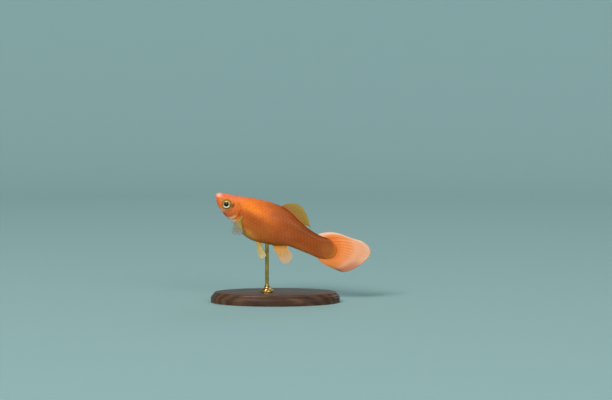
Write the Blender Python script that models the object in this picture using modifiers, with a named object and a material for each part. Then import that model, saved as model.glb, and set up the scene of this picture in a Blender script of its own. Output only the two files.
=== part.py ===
"""A life-size female swordtail on a plain display stand, like a model in a museum case.

The fish is modelled straight, in a frame of its own: +X from the snout to the tail, +Z to the back, and
its left side towards -Y. One gentle swimming curve then bends every piece alike, and an empty tilts the
whole fish and lifts it onto its rod. Lengths are in metres. The fish's own sizes are per cent of its
standard length, the length from the snout to the end of the flesh, as in a table of fish measurements.
"""

import math
from collections import namedtuple

import bmesh
import bpy
from mathutils import Matrix, Vector

MM = 0.001

# Driving sizes of the fish
STANDARD_LENGTH = 63.8 * MM
PER_CENT = STANDARD_LENGTH / 100
GAP = 0.3 * MM
NOSE_UP = math.radians(24.5)
SWIM_START = 39 * PER_CENT
SWIM_SPAN = 86 * PER_CENT
SWIM_SWEEP = 7 * PER_CENT

# Driving sizes of the stand
BASE_LENGTH = 62 * MM
BASE_WIDTH = 34 * MM
BASE_THICKNESS = 5 * MM
BASE_SIDES = 48
ROD_RADIUS = 0.9 * MM
ROD_REACH = 23 * MM
ROD_OFFSET = 4 * MM
ROD_SIDES = 16
FOOT_RADIUS = 3.2 * MM
FOOT_HEIGHT = 1.3 * MM

# The moulded edge above the base's straight foot: how far in and how far up each step goes, in millimetres
BASE_MOULDING = ((0.45, 0.25), (0.0, 0.55), (0.35, 0.15), (0.75, 0.75), (0.0, 0.25), (0.5, 0.35))

# Where the rod meets the belly, from the snout
ROD_PLACE = 50.4 * PER_CENT

# The body, as one section at each landmark, in per cent: its place from the snout, the heights of the back
# and the belly, the half width, the height of the widest line, and how square the back and the belly are
Landmark = namedtuple("Landmark", "place back belly half_width waist back_power belly_power")
LANDMARKS = (
    Landmark(0.0, 2.6, -2.0, 3.0, 0.5, 2.4, 2.2),  # lips
    Landmark(3.1, 3.5, -4.9, 3.9, -0.6, 2.6, 2.2),  # chin
    Landmark(7.1, 4.5, -7.8, 4.8, -1.6, 2.8, 2.1),  # front of the eye
    Landmark(11.0, 5.5, -10.1, 5.5, -2.2, 2.7, 2.1),  # middle of the eye
    Landmark(17.2, 7.2, -12.6, 6.4, -2.7, 2.5, 2.1),  # cheek
    Landmark(23.5, 9.0, -14.6, 7.0, -3.3, 2.3, 2.1),  # end of the gill cover
    Landmark(31.3, 11.0, -18.3, 7.7, -4.5, 2.1, 2.2),  # shoulder
    Landmark(39.2, 12.5, -19.4, 7.9, -5.0, 2.0, 2.3),  # deepest belly
    Landmark(47.8, 13.2, -17.9, 7.4, -4.4, 1.9, 2.1),  # start of the dorsal fin
    Landmark(56.4, 12.0, -15.8, 6.3, -3.3, 1.9, 1.9),  # start of the anal fin
    Landmark(64.3, 9.0, -12.5, 5.2, -2.4, 1.9, 2.0),  # end of the anal fin
    Landmark(72.1, 6.7, -11.7, 4.2, -2.4, 2.0, 2.0),  # end of the dorsal fin
    Landmark(82.3, 5.0, -11.3, 3.0, -3.0, 2.2, 2.2),  # slimmest of the stalk
    Landmark(91.0, 5.3, -11.3, 2.0, -2.8, 2.6, 2.6),  # roots of the tail rays
    Landmark(100.0, 6.2, -11.4, 1.0, -2.6, 3.0, 3.0),  # end of the flesh
)
SNOUT_ROUNDING = 1.9 * PER_CENT
SNOUT_HEIGHT = 0.4 * PER_CENT

# The blunt front of the snout: how far its lower part is drawn back for each length below this height, and
# how far from the tip that reaches
FRONT_TOP = 1.6 * PER_CENT
FRONT_SLANT = 0.30
FRONT_LEAST = 0.05 * PER_CENT
FRONT_REACH = 6 * PER_CENT

# The end of the flesh: how far its upper and lower corners lie in front of its middle
END_BULGE = 9.9 * PER_CENT
END_BULGE_START = 81.5 * PER_CENT

# Where the body is parted
HEAD_END = 23.6 * PER_CENT
TRUNK_END = 66.5 * PER_CENT

# The mouth: its line in front of the snout, its corner, and the foot of the line behind the lower jaw
MOUTH_FRONT = (-5.0 * PER_CENT, 3.1 * PER_CENT)
MOUTH_CORNER = (5.0 * PER_CENT, -2.9 * PER_CENT)
JAW_FOOT = (9.6 * PER_CENT, -14.0 * PER_CENT)
LIP_RADIUS = 0.66 * PER_CENT
LIP_LIFT = 0.7 * PER_CENT
LIP_PLACES = (4.9, 4.1, 3.2, 2.3, 1.5, 0.9, 0.45)
LIP_TAPER = 3.0 * PER_CENT

# The eye: an oblate ball, with its rim and its two nostrils in front
EYE_PLACE = 10.7 * PER_CENT
EYE_HEIGHT = -2.3 * PER_CENT
EYE_RADIUS = 3.6 * PER_CENT
EYE_DEPTH = 1.9 * PER_CENT
EYE_STANDS_OUT = 0.9 * PER_CENT
PUPIL_RADIUS = 2.0 * PER_CENT
RIM_RADIUS = 3.95 * PER_CENT
RIM_THICKNESS = 0.5 * PER_CENT
RIM_POINTS = 24
NOSTRILS = ((4.3, 2.0), (6.0, 2.5))
NOSTRIL_RADIUS = 0.5 * PER_CENT

# The gill cover: a leaning oval plate on the cheek
COVER_CENTRE = (17.3 * PER_CENT, -4.9 * PER_CENT)
COVER_HALF_LENGTH = 4.8 * PER_CENT
COVER_HALF_HEIGHT = 6.3 * PER_CENT
COVER_LEAN = math.radians(10)
COVER_SQUARENESS = 2.4
COVER_RAISED = 0.12 * MM
COVER_THICKNESS = 0.7 * MM
COVER_SIDES = 32
EYE_CLEARANCE = 5.2 * PER_CENT

# Fins: half thickness of the membrane at its root and edge, and how far a ray stands out of each face
MEMBRANE_ROOT = 0.26 * MM
MEMBRANE_EDGE = 0.13 * MM
MEMBRANE_TAPER = 3
RAY_RIDGE = 0.15 * MM
RIDGE_START = 6
FORK_AT = 0.5
EDGE_LEAD = 0.35

# The fins on the back and the belly, in per cent: the root's first and last place, and the edge as a Bezier
# curve in the side view
DORSAL_ROOT = (48.6, 71.0)
DORSAL_EDGE = ((50.0, 15.2), (57.2, 21.4), (64.2, 22.6), (75.2, 7.2))
DORSAL_RAYS = 12
ANAL_ROOT = (54.9, 65.0)
ANAL_EDGE = ((65.8, -25.4), (70.3, -26.6), (73.8, -23.8), (71.5, -16.9))
ANAL_RAYS = 9

# The tail fin: its edge as a Bezier curve from the lowest ray's tip to the highest, how far the outer rays
# bow from a straight line a third of their way out, how far the lower corner curls away from the middle
# plane, and how far the root runs forward on the back
TAIL_RAYS = 14
TAIL_EDGE = ((108.5, -14.4), (117.0, -14.2), (120.5, -4.0), (136.5, 12.6), (113.5, 13.9))
TAIL_BOW = (0.9, 3.0)
TAIL_CURL = 3.5
TAIL_LEAD = 7.5 * PER_CENT

# The paired fins: the first and the last ray's root in the side view, and three points of the edge, which
# are the place, how far out from the middle plane, and the height
PECTORAL_RAYS = 9
PECTORAL_ROOT = ((24.7, -5.2), (26.2, -9.8))
PECTORAL_EDGE = ((21.6, 11.4, -16.4), (24.0, 14.4, -23.2), (31.4, 12.6, -16.6))
PELVIC_RAYS = 6
PELVIC_ROOT = ((42.4, 2.6), (45.8, 1.7))
PELVIC_EDGE = ((48.6, 6.6, -28.6), (52.8, 5.6, -30.6), (53.4, 4.2, -25.0))

# Colours of the object, as linear red, green and blue
ORANGE_SKIN = (0.80, 0.22, 0.055)
PALE_SKIN = (0.85, 0.40, 0.16)
YELLOW_FIN = (0.42, 0.30, 0.06)
ORANGE_FIN = (0.85, 0.32, 0.12)
EYE_SILVER = (0.55, 0.52, 0.35)
DARK_WOOD = (0.045, 0.026, 0.016)
BRASS = (0.60, 0.42, 0.16)


def clear_scene():
    """Removes whatever the file holds."""
    for obj in list(bpy.data.objects):
        bpy.data.objects.remove(obj)


def make_collection(name):
    """A new collection in the scene."""
    collection = bpy.data.collections.new(name)
    bpy.context.scene.collection.children.link(collection)
    return collection


def make_material(name, colour, roughness, metallic=0.0):
    """A plain Principled material."""
    material = bpy.data.materials.new(name)
    material.use_nodes = True
    shader = material.node_tree.nodes["Principled BSDF"]
    shader.inputs["Base Color"].default_value = (*colour, 1.0)
    shader.inputs["Roughness"].default_value = roughness
    shader.inputs["Metallic"].default_value = metallic
    return material


def landmark_value(field, place):
    """One of the body's sizes at a place along it, in metres or as a power, on a smooth curve."""
    share = place / PER_CENT
    places = [mark.place for mark in LANDMARKS]
    values = [getattr(mark, field) for mark in LANDMARKS]
    scale = 1.0 if field.endswith("power") else PER_CENT
    share = min(max(share, places[0]), places[-1])
    after = next(i for i in range(1, len(places)) if share <= places[i])
    slopes = []
    for i in (after - 1, after):
        low, high = max(i - 1, 0), min(i + 1, len(places) - 1)
        slopes.append((values[high] - values[low]) / (places[high] - places[low]))
    width = places[after] - places[after - 1]
    t = (share - places[after - 1]) / width
    start = (2 * t**3 - 3 * t**2 + 1) * values[after - 1] + (t**3 - 2 * t**2 + t) * width * slopes[0]
    end = (3 * t**2 - 2 * t**3) * values[after] + (t**3 - t**2) * width * slopes[1]
    return (start + end) * scale


def signed_power(value, power):
    return math.copysign(abs(value) ** power, value)


def snout_share(place):
    """How much of its full section the round snout has at a place."""
    nose = min(1.0, max(0.0, place / SNOUT_ROUNDING))
    return math.sqrt(1 - (1 - nose) ** 2)


def front_setback(place, height):
    """How far a point near the tip is drawn back, which makes the snout's front blunt."""
    below = min(max(0.0, FRONT_TOP - height), 4.5 * PER_CENT)
    fade = max(0.0, 1 - max(0.0, place) / FRONT_REACH) ** 2
    return fade * (FRONT_LEAST + FRONT_SLANT * below)


def skin_point(place, turn, swell=0.0):
    """A point of the skin, at a place along the body and a turn round it: 0 at the back, pi at the belly."""
    half_width = landmark_value("half_width", place) + swell
    waist = landmark_value("waist", place)
    upper = math.cos(turn) > 0
    edge = landmark_value("back" if upper else "belly", place) + (swell if upper else -swell)
    power = 2 / landmark_value("back_power" if upper else "belly_power", place)
    y = -half_width * signed_power(math.sin(turn), power)
    z = waist + abs(edge - waist) * signed_power(math.cos(turn), power)
    shrink = snout_share(place + swell)
    z = SNOUT_HEIGHT + (z - SNOUT_HEIGHT) * shrink
    tail_share = max(0.0, place - END_BULGE_START) / (STANDARD_LENGTH - END_BULGE_START)
    middle, half = end_middle_and_half()
    setback = END_BULGE * tail_share**2 * min(1.0, abs((z - middle) / half)) ** 3
    return Vector((place - setback + front_setback(place, z), y * shrink, z))


def end_middle_and_half():
    """The middle height and the half height of the flesh where the tail fin grows."""
    back = landmark_value("back", STANDARD_LENGTH)
    belly = landmark_value("belly", STANDARD_LENGTH)
    return (back + belly) / 2, (back - belly) / 2


def flank_width(place, height):
    """Half the body's width at a place and a height."""
    shrink = snout_share(place)
    height = SNOUT_HEIGHT + (height - SNOUT_HEIGHT) / shrink
    waist = landmark_value("waist", place)
    upper = height > waist
    edge = landmark_value("back" if upper else "belly", place)
    power = landmark_value("back_power" if upper else "belly_power", place)
    share = min(1.0, abs((height - waist) / (edge - waist)))
    return shrink * landmark_value("half_width", place) * (1 - share**power) ** (1 / power)


def flank_frame(place, height, side, lift):
    """A frame on the flank, its Z pointing straight out of the skin, and its origin lifted along that."""
    step = 0.5 * PER_CENT
    along = (flank_width(place + step, height) - flank_width(place - step, height)) / (2 * step)
    upward = (flank_width(place, height + step) - flank_width(place, height - step)) / (2 * step)
    out = Vector((-along, side, -upward)).normalized()
    origin = Vector((place, side * flank_width(place, height), height)) + out * lift
    return Matrix.Translation(origin) @ out.to_track_quat("Z", "Y").to_matrix().to_4x4()


def swim(point):
    """The straight fish's point on the swimming curve, which carries the tail away to +Y."""
    reach = max(0.0, point.x - SWIM_START) / SWIM_SPAN
    turn = math.atan(2 * SWIM_SWEEP * reach / SWIM_SPAN)
    return Vector(
        (
            point.x - point.y * math.sin(turn),
            SWIM_SWEEP * reach**2 + point.y * math.cos(turn),
            point.z,
        )
    )


def mesh_object(name, bm, collection, material=None):
    """An object of a bmesh, in triangles and with its faces pointing out."""
    bmesh.ops.triangulate(bm, faces=bm.faces)
    bmesh.ops.recalc_face_normals(bm, faces=bm.faces)
    mesh = bpy.data.meshes.new(name)
    bm.to_mesh(mesh)
    bm.free()
    obj = bpy.data.objects.new(name, mesh)
    collection.objects.link(obj)
    if material is not None:
        mesh.materials.append(material)
    return obj


def loft_body(name, places, sides, collection, swell=0.0):
    """The body between the first and the last place. A first place of 0 closes at the snout's tip."""
    bm = bmesh.new()
    turns = [2 * math.pi * i / sides for i in range(sides)]
    rings = []
    for place in places:
        if place + swell <= 0:
            rings.append([bm.verts.new((place + front_setback(place, SNOUT_HEIGHT), 0, SNOUT_HEIGHT))])
        else:
            rings.append([bm.verts.new(skin_point(place, turn, swell)) for turn in turns])
    for ring, after in zip(rings, rings[1:]):
        for i in range(sides):
            j = (i + 1) % sides
            if len(ring) == 1:
                bm.faces.new((ring[0], after[j], after[i]))
            else:
                bm.faces.new((ring[i], ring[j], after[j], after[i]))
    if len(rings[0]) > 1:
        bm.faces.new(rings[0])
    for i in range(sides // 2):
        across = [rings[-1][k % sides] for k in (i, i + 1, -i - 1, -i)]
        bm.faces.new(list(dict.fromkeys(across)))
    return mesh_object(name, bm, collection)


def spaced(start, end, count):
    """Count + 1 places from start to end."""
    return [start + (end - start) * i / count for i in range(count + 1)]


def snout_places(end, count, swell=0.0):
    """Places from the snout's tip to an end, close together where the snout is round."""
    rounding = 5
    tip = [-swell + SNOUT_ROUNDING * (1 - math.cos(math.pi / 2 * i / rounding)) for i in range(rounding)]
    return tip + spaced(SNOUT_ROUNDING - swell, end, count)


def real_mesh(obj):
    """The object's shape with its modifiers, or its curve, made a welded mesh in place."""
    bpy.context.view_layer.update()
    evaluated = obj.evaluated_get(bpy.context.evaluated_depsgraph_get())
    mesh = bpy.data.meshes.new_from_object(evaluated)
    bm = bmesh.new()
    bm.from_mesh(mesh)
    bmesh.ops.remove_doubles(bm, verts=bm.verts, dist=1e-7)
    bm.to_mesh(mesh)
    bm.free()
    return mesh


def curve_to_mesh(curve_object):
    """A new mesh object in place of a curve object."""
    name, matrix = curve_object.name, curve_object.matrix_world.copy()
    collection = curve_object.users_collection[0]
    mesh = real_mesh(curve_object)
    bpy.data.objects.remove(curve_object)
    made = bpy.data.objects.new(name, mesh)
    made.matrix_world = matrix
    collection.objects.link(made)
    return made


def combine(target, others, operation):
    """Unites target with the others, cuts them from it or keeps what they share, and removes the others."""
    pieces = bpy.data.collections.new("combine")
    bpy.context.scene.collection.children.link(pieces)
    for other in others:
        pieces.objects.link(other)
    modifier = target.modifiers.new("combine", "BOOLEAN")
    modifier.operation = operation
    modifier.operand_type = "COLLECTION"
    modifier.collection = pieces
    modifier.solver = "EXACT"
    mesh = real_mesh(target)
    target.modifiers.clear()
    target.data = mesh
    for other in others:
        bpy.data.objects.remove(other)
    bpy.data.collections.remove(pieces)
    return target


def loose_bodies(bm):
    """The bmesh's separate surfaces, as lists of faces, the largest first."""
    left, bodies = set(bm.faces), []
    while left:
        body, front = set(), [left.pop()]
        while front:
            face = front.pop()
            body.add(face)
            for near in {f for edge in face.edges for f in edge.link_faces} & left:
                left.remove(near)
                front.append(near)
        bodies.append(list(body))
    return sorted(bodies, key=lambda faces: -sum(face.calc_area() for face in faces))


def keep_body(obj, wanted=lambda faces: True):
    """Leaves the largest closed surface of the mesh that is wanted."""
    bm = bmesh.new()
    bm.from_mesh(obj.data)
    bodies = loose_bodies(bm)
    kept = next(faces for faces in bodies if wanted(faces))
    extra = [face for faces in bodies if faces is not kept for face in faces]
    bmesh.ops.delete(bm, geom=extra, context="FACES")
    bm.to_mesh(obj.data)
    bm.free()
    return obj


def prism(name, outline, half_depth, collection):
    """A flat outline in the fish's side view, made as deep as twice half_depth across the fish."""
    curve = bpy.data.curves.new(name, "CURVE")
    curve.dimensions = "2D"
    curve.fill_mode = "BOTH"
    curve.extrude = half_depth
    spline = curve.splines.new("POLY")
    spline.points.add(len(outline) - 1)
    for point, (x, z) in zip(spline.points, outline):
        point.co = (x, z, 0, 1)
    spline.use_cyclic_u = True
    obj = bpy.data.objects.new(name, curve)
    collection.objects.link(obj)
    obj.rotation_euler = (math.pi / 2, 0, 0)
    bpy.context.view_layer.update()
    return curve_to_mesh(obj)


def ball(name, frame, radius, depth, collection, segments=24, rings=12):
    """A ball of its own depth along the frame's Z, where its poles are."""
    bm = bmesh.new()
    bmesh.ops.create_uvsphere(bm, u_segments=segments, v_segments=rings, radius=radius)
    bmesh.ops.scale(bm, verts=bm.verts, vec=(1, 1, depth / radius))
    bmesh.ops.transform(bm, verts=bm.verts, matrix=frame)
    return mesh_object(name, bm, collection)


def tube(name, points, thicknesses, radius, collection, closed=False):
    """A tube along these points, with its own share of the radius at each."""
    curve = bpy.data.curves.new(name, "CURVE")
    curve.dimensions = "3D"
    curve.bevel_depth = radius
    curve.bevel_resolution = 1
    curve.use_fill_caps = not closed
    spline = curve.splines.new("POLY")
    spline.points.add(len(points) - 1)
    for target, point, thickness in zip(spline.points, points, thicknesses):
        target.co = (*point, 1)
        target.radius = thickness
    spline.use_cyclic_u = closed
    obj = bpy.data.objects.new(name, curve)
    collection.objects.link(obj)
    return curve_to_mesh(obj)


def line_offset(start, end, distance):
    """Two points of a line in the side view, both moved sideways to its left."""
    along = Vector(end) - Vector(start)
    left = Vector((-along.y, along.x)).normalized() * distance
    return Vector(start) + left, Vector(end) + left


def jaw_outline(gap):
    """The lower jaw's region in the side view, its two inner lines moved out by the gap."""
    upper = line_offset(MOUTH_FRONT, MOUTH_CORNER, gap)
    behind = line_offset(MOUTH_CORNER, JAW_FOOT, gap)
    first = upper[1] - upper[0]
    second = behind[1] - behind[0]
    crossing = first.x * second.y - first.y * second.x
    between = behind[0] - upper[0]
    corner = upper[0] + first * ((between.x * second.y - between.y * second.x) / crossing)
    return [upper[0], corner, behind[1], (MOUTH_FRONT[0], behind[1].y)]


def mouth_height(place):
    """The height of the mouth's line at a place."""
    share = (place - MOUTH_FRONT[0]) / (MOUTH_CORNER[0] - MOUTH_FRONT[0])
    return MOUTH_FRONT[1] + (MOUTH_CORNER[1] - MOUTH_FRONT[1]) * share


def lip(name, lift, collection):
    """A lip: a tube round the front of the snout, along the mouth's line and lifted off it."""
    side, thicknesses = [], []
    for share in LIP_PLACES:
        place = share * PER_CENT
        height = mouth_height(place) + lift
        thickness = 0.4 + 0.6 * min(1.0, (LIP_PLACES[0] * PER_CENT - place) / LIP_TAPER)
        out = flank_width(place, height) - LIP_RADIUS * (1 - thickness)
        side.append((place + front_setback(place, height), out, height))
        thicknesses.append(thickness)
    height = mouth_height(0.0) + lift
    front = (0.18 * PER_CENT + front_setback(0.0, height), 0.0, height)
    points = [(x, -y, z) for x, y, z in side] + [front] + side[::-1]
    return tube(name, points, thicknesses + [1.0] + thicknesses[::-1], LIP_RADIUS, collection)


def eye_rim(side, collection):
    """The skin's raised rim round an eye, as a ring that follows the flank."""
    points = []
    for i in range(RIM_POINTS):
        turn = 2 * math.pi * i / RIM_POINTS
        place = EYE_PLACE + RIM_RADIUS * math.cos(turn)
        height = EYE_HEIGHT + RIM_RADIUS * math.sin(turn)
        points.append((place, side * flank_width(place, height), height))
    return tube("rim", points, [1.0] * RIM_POINTS, RIM_THICKNESS, collection, closed=True)


def cover_outline(grow):
    """The gill cover's outline in the side view: an oval, hollowed where it passes round the eye."""
    outline = []
    eye = Vector((EYE_PLACE, EYE_HEIGHT))
    for i in range(COVER_SIDES):
        turn = 2 * math.pi * i / COVER_SIDES
        x = (COVER_HALF_LENGTH + grow) * signed_power(math.cos(turn), 2 / COVER_SQUARENESS)
        z = (COVER_HALF_HEIGHT + grow) * signed_power(math.sin(turn), 2 / COVER_SQUARENESS)
        leaned = Vector((x, z)) @ Matrix.Rotation(COVER_LEAN, 2)
        away = Vector(COVER_CENTRE) + leaned - eye
        away.length = max(away.length, EYE_CLEARANCE - grow)
        outline.append(eye + away)
    return outline


def eye_frame(side):
    """The frame of an eye, from its middle out, with side -1 for the fish's left and 1 for its right."""
    return flank_frame(EYE_PLACE, EYE_HEIGHT, side, EYE_STANDS_OUT - EYE_DEPTH)


def cover_places():
    """Places of the body sections that the gill covers and their recess are cut from."""
    return spaced(10 * PER_CENT, 26 * PER_CENT, 12)


def gill_recess(collection):
    """The recess for both gill covers, as a cutter."""
    deep = loft_body("deep", cover_places(), 32, collection, COVER_RAISED - COVER_THICKNESS - GAP)
    return combine(prism("recess", cover_outline(GAP), 15 * PER_CENT, collection), [deep], "DIFFERENCE")


def make_head(parts, cutters, material):
    """The head with its upper lip, rims, nostrils, eye sockets and the recess under each gill cover."""
    head = loft_body("head", snout_places(HEAD_END, 20), 40, parts)
    rims = [eye_rim(side, cutters) for side in (-1, 1)]
    combine(head, [lip("upper_lip", LIP_LIFT, cutters), *rims], "UNION")
    holes = []
    for side in (-1, 1):
        holes.append(ball("socket", eye_frame(side), EYE_RADIUS + GAP, EYE_DEPTH + GAP, cutters))
        for place, height in NOSTRILS:
            frame = flank_frame(place * PER_CENT, height * PER_CENT, side, 0.0)
            holes.append(ball("nostril", frame, NOSTRIL_RADIUS, NOSTRIL_RADIUS, cutters, 12, 8))
    jaw_room = prism("jaw_room", jaw_outline(GAP), 12 * PER_CENT, cutters)
    combine(head, [jaw_room, gill_recess(cutters), *holes], "DIFFERENCE")
    head.data.materials.append(material)
    return keep_body(head)


def make_lower_jaw(parts, cutters, material):
    """The lower jaw and its lip, up to the mouth's line."""
    jaw = loft_body("lower_jaw", snout_places(15 * PER_CENT, 12), 40, parts)
    combine(jaw, [lip("lower_lip", -LIP_LIFT * 0.8, cutters)], "UNION")
    combine(jaw, [prism("jaw_region", jaw_outline(0.0), 12 * PER_CENT, cutters)], "INTERSECT")
    jaw.data.materials.append(material)
    return keep_body(jaw)


def make_gill_cover(name, side, parts, cutters, material):
    """One gill cover: a thin plate that follows the cheek and stands a little proud of it."""
    cover = loft_body(name, cover_places(), 36, parts, COVER_RAISED)
    combine(cover, [prism("oval", cover_outline(0.0), 15 * PER_CENT, cutters)], "INTERSECT")
    deep = loft_body("deep", cover_places(), 32, cutters, COVER_RAISED - COVER_THICKNESS)
    combine(cover, [deep], "DIFFERENCE")
    cover.data.materials.append(material)
    return keep_body(cover, lambda faces: side * sum(face.calc_center_median().y for face in faces) > 0)


def make_eye(name, side, parts, material):
    """One eye: a turned lens, with a shallow step round the pupil."""
    curve_points = 12
    profile = []
    for i in range(curve_points + 1):
        turn = math.pi * i / curve_points
        radius = EYE_RADIUS * math.sin(turn)
        height = EYE_DEPTH * math.cos(turn)
        if turn < math.pi / 2 and radius < PUPIL_RADIUS:
            height += 0.12 * EYE_DEPTH
        profile.append((radius, 0.0, height))
    mesh = bpy.data.meshes.new(name)
    mesh.from_pydata(profile, [(i, i + 1) for i in range(curve_points)], [])
    eye = bpy.data.objects.new(name, mesh)
    parts.objects.link(eye)
    screw = eye.modifiers.new("turned", "SCREW")
    screw.axis = "Z"
    screw.steps = screw.render_steps = 24
    screw.use_merge_vertices = True
    screw.merge_threshold = 1e-6
    eye.matrix_world = eye_frame(side)
    mesh.materials.append(material)
    return eye


def make_trunk(parts, material):
    """The trunk, from the gill opening to behind the anal fin."""
    trunk = loft_body("trunk", spaced(HEAD_END + GAP, TRUNK_END, 18), 36, parts)
    trunk.data.materials.append(material)
    return trunk


def make_tail_stalk(parts, material):
    """The tail stalk, with the rounded end that the tail fin grows from."""
    stalk = loft_body("tail_stalk", spaced(TRUNK_END + GAP, STANDARD_LENGTH, 14), 28, parts)
    stalk.data.materials.append(material)
    return stalk


def bezier(points, t):
    """A point of the Bezier curve with these control points."""
    points = [Vector(point) for point in points]
    while len(points) > 1:
        points = [a.lerp(b, t) for a, b in zip(points, points[1:])]
    return points[0]


def ray_fin(name, path, rays, rows, parts, material, forked=False):
    """A fin as one closed sheet. path(u, v) gives its middle from the first ray to the last, root to edge."""
    per_ray = 4 if forked else 2
    columns = per_ray * rays if forked else per_ray * (rays - 1)
    bm = bmesh.new()
    faces = ([], [])
    for column in range(columns + 1):
        for grid in faces:
            grid.append([])
        for row in range(rows + 1):
            u, v = column / columns, row / rows
            middle = path(u, v)
            step = 0.01
            across = path(min(u + step, 1), v) - path(max(u - step, 0), v)
            outward = path(u, min(v + step, 1)) - path(u, max(v - step, 0))
            normal = across.cross(outward).normalized()
            half = MEMBRANE_ROOT + (MEMBRANE_EDGE - MEMBRANE_ROOT) * v**MEMBRANE_TAPER
            half += RAY_RIDGE * ray_share(column, v, forked) * min(1.0, RIDGE_START * v) * (1 - 0.6 * v)
            faces[0][-1].append(bm.verts.new(middle + normal * half))
            faces[1][-1].append(bm.verts.new(middle - normal * half))
    for grid in faces:
        for i in range(columns):
            for j in range(rows):
                bm.faces.new((grid[i][j], grid[i + 1][j], grid[i + 1][j + 1]))
                bm.faces.new((grid[i][j], grid[i + 1][j + 1], grid[i][j + 1]))
    rim = [(i, 0) for i in range(columns)] + [(columns, j) for j in range(rows)]
    rim += [(i, rows) for i in range(columns, 0, -1)] + [(0, j) for j in range(rows, 0, -1)]
    for (i, j), (k, m) in zip(rim, rim[1:] + rim[:1]):
        bm.faces.new((faces[0][i][j], faces[0][k][m], faces[1][k][m]))
        bm.faces.new((faces[0][i][j], faces[1][k][m], faces[1][i][j]))
    return mesh_object(name, bm, parts, material)


def ray_share(column, v, forked):
    """How much of a ray's ridge a column carries. A forked ray parts into two branches on its way out."""
    if not forked:
        return 1.0 if column % 2 == 0 else 0.0
    branch = min(1.0, max(0.0, (v - FORK_AT) / 0.15 + 0.5))
    return (0.0, branch, 1.0 - branch, branch)[column % 4]


def median_path(root_range, edge_curve, first_edge, root_field, bow):
    """The path of a fin on the back or the belly, from its root's places and its edge's Bezier curve."""
    side = 1 if root_field == "back" else -1

    def path(u, v):
        place = (root_range[0] + (root_range[1] - root_range[0]) * u) * PER_CENT
        root = Vector((place, 0, landmark_value(root_field, place) + side * GAP))
        t = first_edge + (1 - first_edge) * u * (1 + EDGE_LEAD * (1 - u))
        x, z = bezier(edge_curve, t) * PER_CENT
        edge = Vector((x, 0, z))
        bowed = Vector((0, 0, side * bow * PER_CENT * 4 * v * (1 - v)))
        return root.lerp(edge, v) + bowed

    return path


def tail_root(side):
    """A point of the tail fin's root: round the flesh's end from the belly at -1, then on the back to 1."""
    middle, half = end_middle_and_half()
    along = side * (1 + TAIL_LEAD / (3 * END_BULGE)) if side > 0 else side
    round_end = min(along, 1.0)
    ahead = 3 * END_BULGE * (along - round_end)
    corner = STANDARD_LENGTH - END_BULGE
    drop = middle + half - landmark_value("back", corner - TAIL_LEAD)
    place = STANDARD_LENGTH - END_BULGE * abs(round_end) ** 3 - ahead
    flesh = Vector((place, 0, middle + half * round_end - drop * ahead / TAIL_LEAD))
    slope = 3 * END_BULGE * round_end * abs(round_end) / half
    return flesh + Vector((1, 0, slope)).normalized() * (GAP + 0.1 * MM)


def tail_path(u, v):
    """The path of the tail fin, from the lowest ray to the highest."""
    side = 2 * u - 1
    x, z = bezier(TAIL_EDGE, u) * PER_CENT
    curl = TAIL_CURL * PER_CENT * (1 - u) ** 2
    bow = side * (TAIL_BOW[0] if side < 0 else TAIL_BOW[1]) * PER_CENT * 6.75 * v * (1 - v) ** 2
    return tail_root(side).lerp(Vector((x, 0, z)), v) + Vector((0, curl * v**2, bow))


def pectoral_path(side):
    """The path of a breast fin, held out and down from the flank behind the gill cover."""

    def path(u, v):
        first, last = (Vector(point) for point in PECTORAL_ROOT)
        place, height = first.lerp(last, u) * PER_CENT
        out = flank_width(place, height)
        slope = (flank_width(place, height + GAP) - flank_width(place, height - GAP)) / (2 * GAP)
        away = Vector((0, 1, -slope)).normalized() * (GAP + 0.1 * MM)
        root = Vector((place, out, height)) + away
        edge = bezier(PECTORAL_EDGE, u) * PER_CENT
        bowed = Vector((0, 1, 0)) * (1.5 * PER_CENT * 4 * v * (1 - v))
        point = root.lerp(edge, v) + bowed
        return Vector((point.x, side * point.y, point.z))

    return path


def pelvic_path(side):
    """The path of a belly fin, which hangs back and a little out from beside the keel of the belly."""

    def path(u, v):
        first, last = (Vector(point) for point in PELVIC_ROOT)
        place, out = first.lerp(last, u) * PER_CENT
        waist = landmark_value("waist", place)
        belly = landmark_value("belly", place)
        power = landmark_value("belly_power", place)
        drop = (1 - (out / landmark_value("half_width", place)) ** power) ** (1 / power)
        root = Vector((place, out, waist + (belly - waist) * drop - GAP - 0.05 * MM))
        edge = bezier(PELVIC_EDGE, u) * PER_CENT
        point = root.lerp(edge, v)
        return Vector((point.x, side * point.y, point.z))

    return path


def make_fins(parts, yellow, orange):
    """All seven fins."""
    back = median_path(DORSAL_ROOT, DORSAL_EDGE, 0.12, "back", 0.4)
    vent = median_path(ANAL_ROOT, ANAL_EDGE, 0.0, "belly", 0.5)
    fins = [
        ray_fin("dorsal_fin", back, DORSAL_RAYS, 6, parts, yellow),
        ray_fin("anal_fin", vent, ANAL_RAYS, 7, parts, yellow),
        ray_fin("tail_fin", tail_path, TAIL_RAYS, 8, parts, orange, forked=True),
    ]
    for word, side in (("left", -1), ("right", 1)):
        fins.append(ray_fin(f"pectoral_fin_{word}", pectoral_path(side), PECTORAL_RAYS, 6, parts, yellow))
        fins.append(ray_fin(f"pelvic_fin_{word}", pelvic_path(side), PELVIC_RAYS, 6, parts, yellow))
    return fins


def bend_to_swim(obj):
    """Bends a piece of the straight fish along the swimming curve."""
    for vertex in obj.data.vertices:
        vertex.co = swim(vertex.co)


def rod_top():
    """Where the rod's axis meets the belly, in the frame of the whole part."""
    return Vector((-ROD_OFFSET, 0, BASE_THICKNESS + ROD_REACH))


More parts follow.
